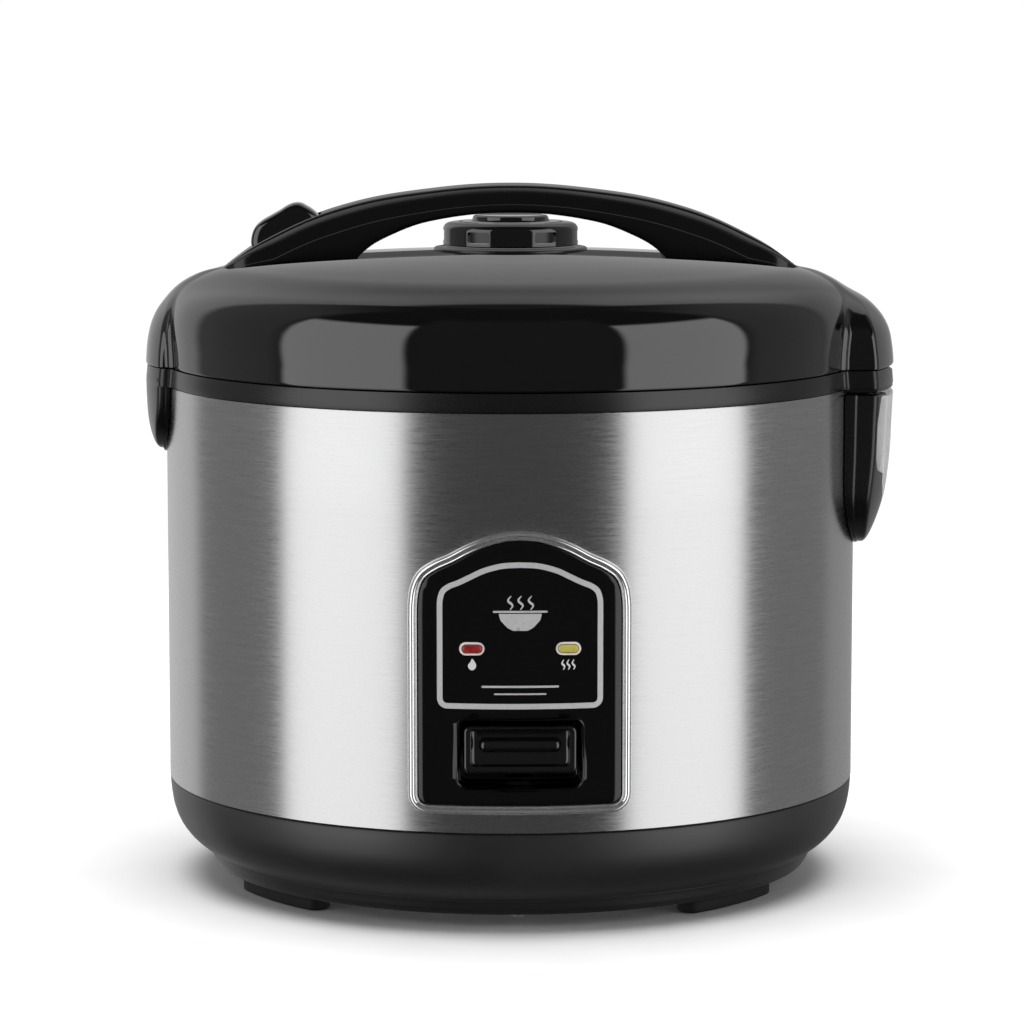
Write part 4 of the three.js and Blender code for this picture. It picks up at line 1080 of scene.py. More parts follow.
# ---------------------------------------------------------------- handle, release button, steam vent
T_TOP = curve_fn([(-109.2, 229.4), (-108.4, 230.0), (-104.0, 233.4), (-97.5, 238.0), (-86.0, 244.2), (-75.0, 249.2), (-63.8, 253.0), (-49.0, 256.6), (-26.0, 259.8), (-12.0, 261.0), (0.0, 261.3),
                  (12.0, 261.0), (26.0, 259.8), (49.0, 256.6), (63.8, 253.0), (75.0, 249.2), (86.0, 244.2), (97.5, 238.0), (104.0, 233.4), (108.4, 230.0), (109.2, 229.4)])
B_ARCH = curve_fn([(0.0, 251.2), (8.0, 251.05), (15.0, 250.5), (25.0, 249.1), (35.0, 246.9), (44.0, 243.4), (51.5, 239.6), (55.6, 236.4), (57.4, 234.4), (58.2, 232.6), (58.5, 229.5), (58.6, 226.0)])


def trough_z(x, y):
    u = min(max((abs(x) - 99.0) / 13.0, 0), 1)
    d = float(ZD(math.hypot(x, y)))
    return min(d - 1.9 + u * u * (3 - 2 * u) * 2.5 + min(max((abs(y) - 14.8) / 4.2, 0), 1.3) * 1.9, d)


def handle_section(x, w, top, arch):
    """Half section from the middle of the underside round to the middle of the top."""
    def low(y):
        f = trough_z(x, y) + 0.12
        return min(max(f, arch), top - 0.25)
    b = low(w)
    h = top - b
    s = min(float(np.interp(abs(x), [0, 25, 66, 120], [0.80, 0.83, 1.0, 1.0])), h / 11.5)
    pts = [(w * k, low(w * k)) for k in (0.0, 0.35, 0.65, 0.85)] + [(w - 1.5 * s, low(w - 1.5 * s)), (w - 0.62 * s, b + 0.16 * s), (w - 0.16 * s, b + 0.62 * s), (w, b + 1.4 * s)]
    side = [(0.0, -9.05), (-0.05, -8.8), (-0.30, -8.65), (-0.34, -8.45), (-0.34, -4.1), (-0.42, -3.55), (-0.8, -3.1), (-3.7, -1.32), (-3.95, -1.22), (-4.2, -1.22), (-4.35, -0.9), (-4.7, -0.45), (-5.3, -0.14)]
    pts += [(w + a * s, top + c * s) for a, c in side]
    pts += [(w * 0.6, top - 0.02), (w * 0.3, top + 0.03), (0.0, top + 0.05)]
    return pts


xs_ = sorted(set([round(v, 3) for v in list(np.linspace(-109.0, 109.0, 110))] + [s * v for s in (-1, 1) for v in (55.6, 56.5, 57.2, 57.8, 58.1, 58.3, 58.45, 58.55, 58.62, 58.8, 107.5, 108.2, 108.7, 109.1)]))
rings = []
for x in xs_:
    ax = abs(x)
    e = (ax - 95.0) / 14.3
    w = 17.0 if e <= 0 else 17.0 * math.sqrt(max(1 - e ** 2.6, 0.02))
    arch = float(B_ARCH(ax)) if ax < 58.6 else -1e9
    half = handle_section(x, w, float(T_TOP(x)), arch)
    ring_ = [(x, y, z) for y, z in half] + [(x, -y, z) for y, z in half[-2:0:-1]]
    rings.append(ring_)
g = loft(rings)
handle = make("handle_arch", g.v, g.f, HANDLE, "lid", "handle", "black_satin", 40)
handle.visible_glossy = False
pocket = [(-98.0, 268.0), (-98.0, 233.3), (-97.5, 232.1), (-96.6, 231.8), (-72.2, 243.3), (-71.5, 244.4), (-71.4, 246.0), (-71.4, 268.0)]
cut(handle, [prism(pocket, "y", -10.35, 10.35)], angle=40)
cut(handle, [cyl((-85, 0, 225), (-85, 0, 244), 4.4, 32)], angle=40)
cut(handle, [cyl((-64, 0, 222), (-64, 0, 242.5), 1.75, 20), cyl((80, 0, 222), (80, 0, 242.5), 1.75, 20)], angle=40)

outline = smooth_line([(-96.95, 236.9), (-97.65, 239.2), (-97.3, 242.6), (-96.1, 245.4), (-93.7, 247.6), (-90.6, 249.4), (-86.9, 251.5), (-84.4, 253.1), (-82.2, 254.05), (-80.4, 254.3), (-78.9, 254.15), (-77.0, 253.2), (-75.0, 252.0), (-73.3, 250.6), (-72.1, 249.1)], 0.8)
outline = list(outline) + [(-71.95, 247.3), (-72.5, 246.7), (-96.0, 235.9)]
outline = dense(outline, 1.2)
cxz = (-84.6, 245.6)
lev = [(0.18, -10.0), (0.36, -9.96), (0.54, -9.84), (0.69, -9.62), (0.80, -9.32), (0.885, -8.9), (0.94, -8.4), (0.975, -7.7), (0.993, -6.8), (1.0, -5.6)]
g = loft([[(cxz[0] + (p[0] - cxz[0]) * d, y, cxz[1] + (p[1] - cxz[1]) * d) for p in outline] for d, y in lev + [(d, -y) for d, y in lev[::-1]]])
button = make("release_button_key", g.v, g.f, GLOSS, "button", "release_button", "black_gloss", 35)
cut(button, [cyl((-85, 0, 225.7), (-85, 0, 246), 2.0, 24)], "UNION", angle=35)

for i, (hx, hz) in enumerate(((-64, 227.2), (80, 226.0))):
    prof = [(0.0, 0.0), (1.7, 0.14), (2.6, 0.7), (3.0, 1.4), (3.0, 2.2), (1.5, 2.2), (1.5, 14.8), (0.5, 15.8), (0, 15.8)]
    g = rev([(r_, hz + z_) for r_, z_ in prof], 32).moved(lambda p: (p[0] + hx, p[1], p[2]))
    o = make("handle_screw_pan_%d" % (i + 1), g.v, g.f, ZINC, "lid", "handle_screw_%d" % (i + 1), "zinc_steel", 35)
    arms = []
    for a in (0, PI / 2):
        c, s = math.cos(a), math.sin(a)
        sec = []
        for L, W, t in ((2.0, 0.6, -0.3), (0.9, 0.5, 1.4)):
            sec.append([(hx + c * u - s * v, s * u + c * v, hz + t) for u, v in ((-L, -W), (L, -W), (L, W), (-L, W))])
        arms.append(loft(sec))
    cut(o, arms, angle=35)
    o.visible_glossy = False

g = tube_path(helix(-85.0, 0.0, 233.45, 235.6, 3.2, 3), 0.45, 10)
make("button_return_spring", g.v, g.f, ZINC, "lid", "button_spring", "zinc_steel", 60).visible_glossy = False

prof = [(10.5, 198), (12.6, 198), (13, 198.4), (13, 229.6), (13.4, 230), (21.1, 230), (21.5, 230.4), (21.5, 235.9), (21.9, 236.2), (28.5, 236.2), (28.9, 236.45), (29.0, 236.9), (28.9, 237.3), (28.5, 237.65), (27.9, 237.75), (26.6, 237.75), (26.3, 237.5), (24.9, 237.5), (24.6, 237.75), (23.6, 238.1), (19.3, 238.1), (19.0, 237.8), (19.0, 233.3), (18.7, 233), (10.9, 233), (10.5, 232.6)]
g = rev(prof, 160)
vent = make("vent_flange_tube", g.v, g.f, SATIN, "lid", "vent_base", "black_satin", 28)

prof = [(0, 249.55), (11.6, 249.55), (12.0, 249.75), (12.9, 249.75), (13.6, 249.6), (14.1, 249.2), (14.35, 248.5), (14.5, 247.9), (14.8, 247.55), (15.4, 247.4), (16.2, 247.4), (19.5, 247.3), (22.3, 247.12), (23.6, 246.85), (24.6, 246.3), (25.2, 245.5), (25.48, 244.7), (25.5, 244.2), (25.5, 238.9), (25.3, 238.55), (24.9, 238.5), (23.8, 238.5), (23.4, 238.8), (23.4, 244.7), (22.9, 245.0), (12.8, 245.4), (12.4, 245.8), (12.4, 247.5), (12.0, 247.8), (0, 247.8)]
g = rev(prof, 192)
cap = make("steam_vent_cap_cover", g.v, g.f, GLOSS, "vent_cap", "steam_vent_cap", "black_satin", 28)
wins = []
for k in range(6):
    a = math.radians(30 + 60 * k)
    c, s = math.cos(a), math.sin(a)
    w = prism(rr(-4.7, 4.7, 240.0, 244.2, 0.9), "y", -27.0, -21.0)
    w = w.moved(lambda p: (c * p[0] - s * p[1], s * p[0] + c * p[1], p[2]))
    wins.append(w)
cut(cap, wins, angle=28)
for o in (button, cap, vent):
    o.visible_glossy = False
slots = []
for k in range(6):
    a0 = 60 * k - 21
    sec = []
    for j in range(15):
        a = math.radians(a0 + 42 * j / 14)
        e = 0.55 if j in (0, 14) else 1.0
        r0_, r1_ = 19.4 - 0.75 * e, 19.4 + 0.75 * e
        sec.append([(r0_ * math.sin(a), -r0_ * math.cos(a), 243.0), (r1_ * math.sin(a), -r1_ * math.cos(a), 243.0), (r1_ * math.sin(a), -r1_ * math.cos(a), 250.0), (r0_ * math.sin(a), -r0_ * math.cos(a), 250.0)])
    slots.append(loft(sec))
cut(cap, slots, angle=28)
# a dark wall just behind the cap's windows, so that they read as dark openings: it stands in for the shade inside the
# cap (painted shade)
g = rev([(20.0, 239.2), (20.8, 239.2), (20.8, 245.9), (20.0, 245.9)], 96)
make("vent_cap_shade_wall", g.v, g.f, SATIN, "vent_cap", (), None, 30).visible_glossy = False
tabs = []
for k in range(3):
    a = 0.4 + k * 2 * PI / 3
    c, s = math.cos(a), math.sin(a)
    t = prism(rr(-2.5, 2.5, 234.1, 245.8, 0.5), "x", -1.0, 1.0)
    t = t.moved(lambda p: (c * (17.2 + p[0]) - s * p[1], s * (17.2 + p[0]) + c * p[1], p[2]))
    tabs.append(t)
for k, t in enumerate(tabs):
    make("vent_cap_tab_%d" % (k + 1), t.v, t.f, GLOSS, "vent_cap", (), None, 30).visible_glossy = False

# ---------------------------------------------------------------- under the lid
prof = [(9, 194.9), (9.3, 194.6), (95.6, 194.6), (96.05, 194.3), (97.9, 190.6), (98.4, 190.3), (110.7, 190.3), (111.1, 190.6), (112.1, 194.3), (112.5, 194.6), (125.8, 194.6), (126.1, 194.9), (126.1, 197.3), (125.8, 197.6), (9.3, 197.6), (9, 197.3)]
g = rev(prof, 160)
frame_in = make("lid_inner_moulding", g.v, g.f, INNER, "lid", "lid_inner_frame", "charcoal_base", 30)
for s in (-1, 1):
    y0, y1 = sorted((s * 5.5, s * 8.5))
    g = prism(fillet([(-122, 197.2), (-114, 197.2), (-114, 212.4, 1.5), (-122, 212.4, 1.5)], True, 4), "y", y0, y1, 0.3, 2)
    ear = make("latch_ear_" + ("a" if s < 0 else "b"), g.v, g.f, INNER, "lid", (), None, 30)
    cut(ear, [cyl((-118.5, -10, 208), (-118.5, 10, 208), 1.8, 24)], angle=30)
cut(frame_in, [prism(rr(-125, -118.6, -5.45, 5.45, 0.6), "z", 180, 212)], angle=30)
cut(frame_in, [cyl((*polar(a, 116), 180), (*polar(a, 116), 212), 1.8, 20) for a in (45, 225)], angle=30)
for k, a in enumerate((45, 225)):
    px, py = polar(a, 116)
    screw("lid_screw_pan_%d" % (k + 1), (px, py, 192.6), 2.8, 1.7, 17.4, -1, ZINC, "lid", "lid_screw_%d" % (k + 1), "zinc_steel")

prof = [(0, 189.06), (26, 189.06), (27.2, 189.0), (41, 189.0), (42.2, 189.06), (70, 189.06), (71.2, 189.3), (72.6, 189.34), (74, 189.3), (75.2, 189.06), (98.6, 189.0), (100.0, 189.1), (100.5, 189.4), (100.55, 189.7), (100.3, 189.9), (0, 189.9)]
g = rev(prof, 160)
plate = make("inner_lid_disc", g.v, g.f, ALU, "lid", "inner_lid_plate", "aluminium_sheet", 30)
cut(plate, [cyl((*polar(a, 34), 180), (*polar(a, 34), 199), 2.2, 24) for a in (0, 72, 144, 216, 288)], angle=30)
prof = [(101.0, 187.6), (101.4, 187.1), (102.2, 186.95), (104.3, 187.4), (106.2, 187.9), (108.2, 187.4), (109.8, 186.95), (110.4, 187.2), (110.6, 187.7), (110.6, 189.5), (110.3, 189.95), (101.3, 189.95), (101.0, 189.6)]
g = rev(smooth_line(prof, 0.5, True), 160)
make("lid_gasket_ring", g.v, g.f, SILICONE, "lid", "lid_gasket", "silicone", 60)

prof = [(-122.5, 178.5), (-122.0, 178.0), (-118.3, 178.0), (-117.9, 178.4), (-117.9, 180.5), (-118.3, 180.9), (-119.5, 180.9), (-119.9, 181.3), (-119.9, 203.1), (-119.5, 203.55), (-114.6, 205.6), (-83.4, 221.0), (-83.0, 221.5), (-83.0, 224.6), (-83.5, 225.0), (-115, 212.4), (-120.5, 212.2), (-122.1, 211.2), (-122.5, 209.8)]
g = prism(prof, "y", -5.0, 5.0, 0.4, 2)
hook = make("latch_hook_lever", g.v, g.f, INNER, "latch", "latch_hook", "charcoal_base", 30)
cut(hook, [cyl((-118.5, -10, 208), (-118.5, 10, 208), 1.8, 24)], angle=30)
g = cyl((-118.5, -8.3, 208), (-118.5, 8.3, 208), 1.5, 24, 0.3)
make("latch_pin_rod", g.v, g.f, ZINC, "lid", "latch_pin", "zinc_steel", 30)


# ---------------------------------------------------------------- hinge pin, housing and water cup
g = cyl((HX, -23.6, HZ), (HX, 23.6, HZ), 1.5, 28, 0.3)
make("hinge_pin_rod", g.v, g.f, ZINC, "root", "hinge_pin", "zinc_steel", 30)
pts = [(HX + 2.35 * math.cos(a), -6.8 + 0.42 + (13.6 - 0.84) * k / 96, HZ + 2.35 * math.sin(a)) for k, a in ((k, 2 * PI * 4 * k / 96 + 0.6) for k in range(97))]
g = tube_path(pts, 0.42, 10)
make("hinge_torsion_spring", g.v, g.f, ZINC, "root", "hinge_spring", "zinc_steel", 60)
g = prism([(-10, 181.4), (-9.8, 181.2), (9.8, 181.2), (10, 181.4), (10, 183.0), (9.8, 183.2), (-9.8, 183.2), (-10, 183.0)], "x", -117.2, -113.4, 0.15, 1)
make("latch_keeper_strip", g.v, g.f, ZINC, "root", "latch_keeper", "zinc_steel", 30)

X_HOUSE = curve_fn([(124.0, 130.5), (126.4, 133.1), (128.2, 134.9), (130.6, 136.5), (137.5, 139.4), (146.7, 142.0), (160.5, 143.7), (174.3, 144.3), (185.6, 144.75)])
LOWER = smooth_line([(-44.4, 158.0), (-44.3, 152.0), (-43.3, 145.4), (-40.0, 139.0), (-36.2, 134.9), (-31.0, 131.2), (-24.0, 128.4), (-16.0, 126.8), (-8.0, 126.45), (0.0, 126.4), (8.0, 126.45), (16.0, 126.8), (24.0, 128.4), (31.0, 131.2), (36.2, 134.9), (40.0, 139.0), (43.3, 145.4), (44.3, 152.0), (44.4, 158.0)], 1.5)
HOUSE = dense(list(LOWER) + [(44.4, 184.9), (43.7, 185.6), (-43.7, 185.6), (-44.4, 184.9)], 1.6)
house = pillow(HOUSE, lambda y, z: (steel_x(y), y, z), lambda y, z: (max(float(X_HOUSE(z)) - arc_drop(y, 100.0), steel_x(y) + 0.25), y, z),
               [(0.0, 0.0), (0.0, 0.30), (0.10, 0.34), (0.30, 0.36), (0.36, 0.42), (0.36, 0.86), (0.50, 0.93), (0.95, 0.975), (1.7, 0.995), (2.6, 1.0)], 2.2)
housing = make("collector_housing_moulding", house.v, house.f, SATIN, "root", "collector_housing", "black_satin", 40)


def cup_poly(half, zb, top):
    right = smooth_line([(half, top), (half, 160.0), (half * 0.985, 156.0), (half * 0.93, 152.0), (half * 0.83, 148.4), (half * 0.70, 145.6), (half * 0.53, zb + 1.7), (half * 0.35, zb + 0.75), (half * 0.16, zb + 0.12), (0.0, zb)], 1.5)
    return list(right) + [(-a, b) for a, b in right[-2::-1]]


POCKET = cup_poly(31.9, 141.6, 190.0)
cutg = prism(POCKET, "x", 134.4, 155.0)
cut(housing, [cutg], angle=40)
scoop = fillet([(136.6, 184.2, 0.8), (134.9, 174.0, 8.0), (134.5, 161.0, 5.0), (135.4, 156.4, 2.2), (139.0, 154.2, 0.6), (152.0, 154.2), (152.0, 184.2)], True, 6)
for s in (-1, 1):
    cut(housing, [prism(scoop, "y", *sorted((s * 30.0, s * 60.0)))], angle=40)

# clear cup: wall 1.5 all round, open at the top
X_CUP = curve_fn([(140.5, 140.2), (142.0, 140.85), (146.7, 142.0), (160.5, 143.7), (174.3, 144.3), (185.2, 144.85)])
rows = []
zs = [142.0, 142.12, 142.5, 143.3, 144.6, 146.4, 148.8, 151.6, 155.0, 160.0, 166.0, 172.0, 178.0, 181.5, 183.1, 183.5, 183.7]
SH = cup_poly(31.5, 142.0, 186.0)


def half_at(z, poly):
    """Half width of the U outline at height z."""
    P = np.array([p for p in poly if p[0] >= 0])
    o = np.argsort(P[:, 1])
    return float(np.interp(z, P[o, 1], P[o, 0]))


def cup_ring(z, half, x0, x1f, r=1.6):
    """Plan outline of the cup at height z: flat at the back, curved at the front, rounded corners."""
    r = min(r, half * 0.45)
    front = [(x1f(y), y) for y in np.linspace(-(half - r), half - r, 25)]
    fr = x1f(half - r)
    c = [(fr - r + r * math.cos(a), half - r + r * math.sin(a)) for a in np.linspace(0, PI / 2, 6)[1:]]
    back = [(x0, half - 0.2), (x0, -half + 0.2)]
    c2 = [(fr - r + r * math.cos(a), -half + r + r * math.sin(a)) for a in np.linspace(-PI / 2, 0, 6)[:-1]]
    return [(x, y, z) for x, y in front + c + back + c2]


for i, z in enumerate(zs):
    zz = max(z, 142.18)
    ins = {0: 1.2, 1: 0.6, 2: 0.2}.get(i, 0.12 if z == 183.7 else 0.0)
    h = max(half_at(zz, SH), 4.0)
    rows.append(cup_ring(z, h - ins * 0.5, 134.8 + ins * 0.5, lambda y: float(X_CUP(z)) - ins * 0.5 - arc_drop(y, 100.0)))
for z in [183.7, 183.4, 181.0, 172.0, 160.0, 155.0, 151.6, 148.8, 146.4, 144.8, 144.0, 143.7]:
    h = max(half_at(z - 1.55, SH) - 1.5, 3.0)
    e = 0.15 if z == 183.7 else 0.0
    rows.append(cup_ring(z, h + e, 136.3 - e, lambda y: float(X_CUP(z)) + e - 1.5 - arc_drop(y, 100.0), 0.9))
g = loft(rows)
make("water_cup_clear", g.v, g.f, CLEAR, "collector", "water_collector", "clear_plastic", 40)

# ---------------------------------------------------------------- inlet
W_IN = dense(fillet([(-17, 45, 2.2), (17, 45, 2.2), (17, 75, 2.2), (-17, 75, 2.2)], True, 5), 2.0)
inl = pillow(W_IN, lambda x, z: (x, steel_x(x), z), lambda x, z: (x, 133.45, z), [(0.0, 0.0), (0.0, 0.7), (0.25, 0.9), (0.8, 1.0)], 2.5)
inl = Geo(inl.v, [f[::-1] for f in inl.f])
inlet = make("inlet_moulding", inl.v, inl.f, SATIN, "root", "power_inlet", "black_satin", 35)
cut(inlet, [prism(rr(-13.6, 13.6, 48.8, 71.2, 1.0), "y", 113.0, 132.6)], "UNION", angle=35)
cut(inlet, [prism(fillet([(-11.5, 53, 1.2), (11.5, 53, 1.2), (11.5, 63, 1.2), (7.5, 67.5, 1.2), (-7.5, 67.5, 1.2), (-11.5, 63, 1.2)], True, 4), "y", 120.5, 140.0)], angle=35)
cut(inlet, [cyl((px, 105, pz), (px, 125, pz), 1.75, 20) for px, pz in ((-7, 58), (7, 58), (0, 63))], angle=35)
for which, px, pz in (("live", -7, 58), ("neutral", 7, 58), ("earth", 0, 63)):
    prof = [(0, 107.0), (1.3, 107.0), (1.5, 107.2), (1.5, 126.9), (1.35, 127.5), (0.9, 127.95), (0, 128.0)]
    g = rev(prof, 24).moved(lambda p: (px + p[0], p[2], pz + p[1]))
    g = Geo(g.v, [f[::-1] for f in g.f])
    make("inlet_contact_" + which, g.v, g.f, CHROME, "root", "inlet_pin_" + which, "chrome_trim", 35)


# ---------------------------------------------------------------- inside the cooker
prof = [(70.0, 72.3), (70.3, 72.0), (109.2, 72.0), (109.6, 72.4), (109.6, 181.7), (109.9, 182.0), (112.0, 182.0), (112.3, 182.3), (112.3, 182.9), (112.0, 183.2), (109.0, 183.2), (108.6, 183.0), (108.4, 182.5), (108.4, 75.6), (107.9, 74.2), (106.9, 73.4), (105.6, 73.2), (70.3, 73.2), (70.0, 72.9)]
g = rev(prof, 160)
liner = make("inner_liner_wall", g.v, g.f, LINER, "root", "inner_liner", "aluminium_sheet", 30)
g = rev([(109.95, 95.0), (110.2, 94.9), (111.7, 94.9), (111.95, 95.2), (111.95, 124.8), (111.7, 125.1), (110.2, 125.1), (109.95, 125.0)], 160)
make("warm_heater_wrap", g.v, g.f, WRAP, "root", "warm_heater_band", "heater_wrap", 30)

prof = [(19.0, 76.4), (19.4, 76.0), (81.4, 76.0), (82.0, 76.6), (82.0, 85.6), (81.6, 86.35), (80.6, 86.75), (78.0, 87.0), (75.0, 87.15), (74.0, 86.85), (73.0, 87.2), (66.0, 87.7), (65.0, 87.4), (64.0, 87.8), (60.0, 87.95), (56.4, 88.0), (55.4, 87.7), (54.4, 88.0), (46.4, 88.0), (45.4, 87.7), (44.4, 88.0), (36.4, 88.0), (35.4, 87.7), (34.4, 88.0), (19.8, 88.0), (19.0, 87.5)]
g = rev(prof, 160)
hot = make("heating_plate_casting", g.v, g.f, HEATER, "root", "heating_plate", "aluminium_sheet", 25)
for k, a in enumerate((60, 180, 300)):
    px, py = 76 * math.cos(math.radians(a)), 76 * math.sin(math.radians(a))
    g = cyl((px, py, 73.5), (px, py, 77.0), 4.0, 24, 0.3)
    make("heating_plate_leg_%d" % (k + 1), g.v, g.f, HEATER, "root", (), None, 30)

POT_OUT = smooth_line([(0.0, 88.3), (30, 88.3), (60, 88.4), (74, 89.35), (85, 91.3), (92.5, 94.3), (98.2, 98.8), (102.0, 104.4), (104.2, 111.0), (105.0, 120.0), (105.0, 150.0), (105.0, 183.4)], 2.0)
POT_IN = smooth_line([(103.4, 183.5), (103.4, 150.0), (103.4, 120.0), (102.6, 111.6), (100.5, 105.3), (97.0, 100.1), (91.8, 95.9), (84.4, 93.0), (74, 91.0), (60, 90.0), (30, 89.9), (0, 89.9)], 2.0)
prof = list(POT_OUT) + [(105.2, 184.0), (105.7, 184.3), (110.2, 184.3), (111.0, 184.5), (111.4, 185.1), (111.4, 185.8), (111.0, 186.35), (110.3, 186.5), (105.2, 186.5), (104.2, 186.2), (103.6, 185.4)] + list(POT_IN)
g = rev(prof, 192)
pot = make("inner_pot_bowl", g.v, g.f, POT, "root", "inner_pot", "pot_coating", 35)

prof = [(3.5, 58.3), (3.8, 58.0), (17.7, 58.0), (18.5, 58.8), (18.5, 74.2), (18.8, 74.5), (23.7, 74.5), (24.0, 74.8), (24.0, 75.4), (23.7, 75.7), (17.7, 75.7), (17.3, 75.2), (17.3, 59.9), (16.7, 59.2), (3.8, 59.2), (3.5, 58.9)]
g = rev(prof, 64)
make("thermostat_can", g.v, g.f, ZINC, "root", "thermostat_housing", "zinc_steel", 30)
prof = [(0, 87.95), (11.8, 87.95), (12.2, 87.8), (13.2, 87.8), (13.6, 87.95), (15.6, 87.9), (16.2, 87.6), (16.5, 87.1), (16.5, 72.2), (16.3, 72.0), (15.8, 72.0), (15.6, 72.2), (15.6, 86.2), (15.2, 86.5), (0, 86.5)]
g = rev(prof, 96)
make("thermostat_sensor_cap", g.v, g.f, ALU, "sensor_cap", "thermostat_cap", "aluminium_sheet", 28)
g = rev([(0, 77.5), (10.5, 77.5), (11, 78.0), (11, 85.7), (10.5, 86.2), (0, 86.2)], 48)
make("thermostat_ferrite_disc", g.v, g.f, FERRITE, "sensor_cap", "thermostat_ferrite", "ferrite", 30)
g = rev([(0, 51.3), (2.2, 51.3), (2.5, 51.6), (2.5, 65.5), (2.8, 65.8), (10.6, 65.8), (11, 66.2), (11, 69.4), (10.6, 69.8), (0, 69.8)], 48)
make("thermostat_magnet_disc", g.v, g.f, FERRITE, "magnet", "thermostat_magnet", "ferrite", 30)
g = tube_path(helix(0.0, 0.0, 60.8, 82.0, 13.6, 4), 0.6, 10)
make("thermostat_coil_spring", g.v, g.f, ZINC, "root", "thermostat_spring", "zinc_steel", 60)

g = cyl((-48, 30, 73.2), (-26, 30, 73.2), 2.4, 24, 0.5)
make("thermal_fuse_body", g.v, g.f, CERAMIC, "root", "thermal_fuse", "ceramic_white", 30)
g = prism(fillet([(-46, 60, 1.2), (-14, 60, 1.2), (-14, 76, 1.2), (-46, 76, 1.2)], True, 4), "z", 10.2, 24.0, 0.6, 2)
tb = make("terminal_block_body", g.v, g.f, CERAMIC, "root", "terminal_block", "ceramic_white", 30)
cut(tb, [prism(rr(-43.5, -31.5, 62.5, 73.5, 0.8), "z", 14.0, 30.0), prism(rr(-28.5, -16.5, 62.5, 73.5, 0.8), "z", 14.0, 30.0)], angle=30)

arm = fillet([(4, 47.2, 0.8), (4, 51, 0.8), (-44, 51, 3), (-58, 62, 3), (-66, 62.5, 2), (-112, 66.5, 1), (-127.1, 66.5, 0.6), (-127.1, 62.5, 0.6), (-112, 62.5, 1), (-66, 54.5, 3), (-58, 54, 2), (-44, 47.2, 2)], True, 4)
g = prism(arm, "x", -3.8, 3.8, 0.35, 1)
la = make("cook_lever_strip", g.v, g.f, ZINC, "lever", "cook_lever_arm", "zinc_steel", 30)
cut(la, [cyl((-10, -62, 58), (10, -62, 58), 1.8, 24)], angle=30)
g = cyl((-8.5, -62, 58), (8.5, -62, 58), 1.5, 24, 0.3)
make("lever_pivot_rod", g.v, g.f, ZINC, "root", "lever_pivot_pin", "zinc_steel", 30)
g = prism(rr(-12, 12, -69, -45, 1.5), "z", 74.3, 75.7, 0.2, 1)
br = make("lever_bracket_plate", g.v, g.f, ZINC, "root", "lever_bracket", "zinc_steel", 30)
for k, (x0, x1) in enumerate(((-6.0, -4.5), (4.5, 6.0))):
    g = prism(fillet([(-66, 52, 2.5), (-58, 52, 2.5), (-54, 74.6), (-69, 74.6)], True, 4), "x", x0, x1, 0.2, 1)
    ck = make("lever_bracket_cheek_%d" % (k + 1), g.v, g.f, ZINC, "root", (), None, 30)
    cut(ck, [cyl((-10, -62, 58), (10, -62, 58), 1.7, 24)], angle=30)
g = prism(rr(-58, -46, 60, 70, 0.8), "x", 6.4, 12.9, 0.4, 2)
make("microswitch_body", g.v, g.f, INNER, "root", "microswitch", "charcoal_base", 30)
g = prism(rr(-56.5, -54.5, 69.5, 73.9, 0.5), "x", 8.4, 10.9, 0.2, 1)
make("microswitch_post", g.v, g.f, INNER, "root", (), None, 30)
g = prism(rr(-26, 26, 96.5, 112.5, 1.0), "y", -122.0, -120.4, 0.15, 1)
make("indicator_board_sheet", g.v, g.f, BOARD, "root", "indicator_board", "board_green", 30)
for nm, px in (("cook_lamp", -16.9), ("warm_lamp", 16.9)):
    prof = [(0, 0), (2.45, 0), (2.6, 0.2), (2.6, 0.9), (2.35, 1.1), (2.35, 3.6), (2.0, 4.6), (1.2, 5.3), (0, 5.5)]
    g = rev(prof, 32).moved(lambda p: (px + p[0], -122.3 - p[2], 104.6 + p[1]))
    make(nm + "_bulb", g.v, g.f, GLASS, "root", nm, "lamp_glass", 30)


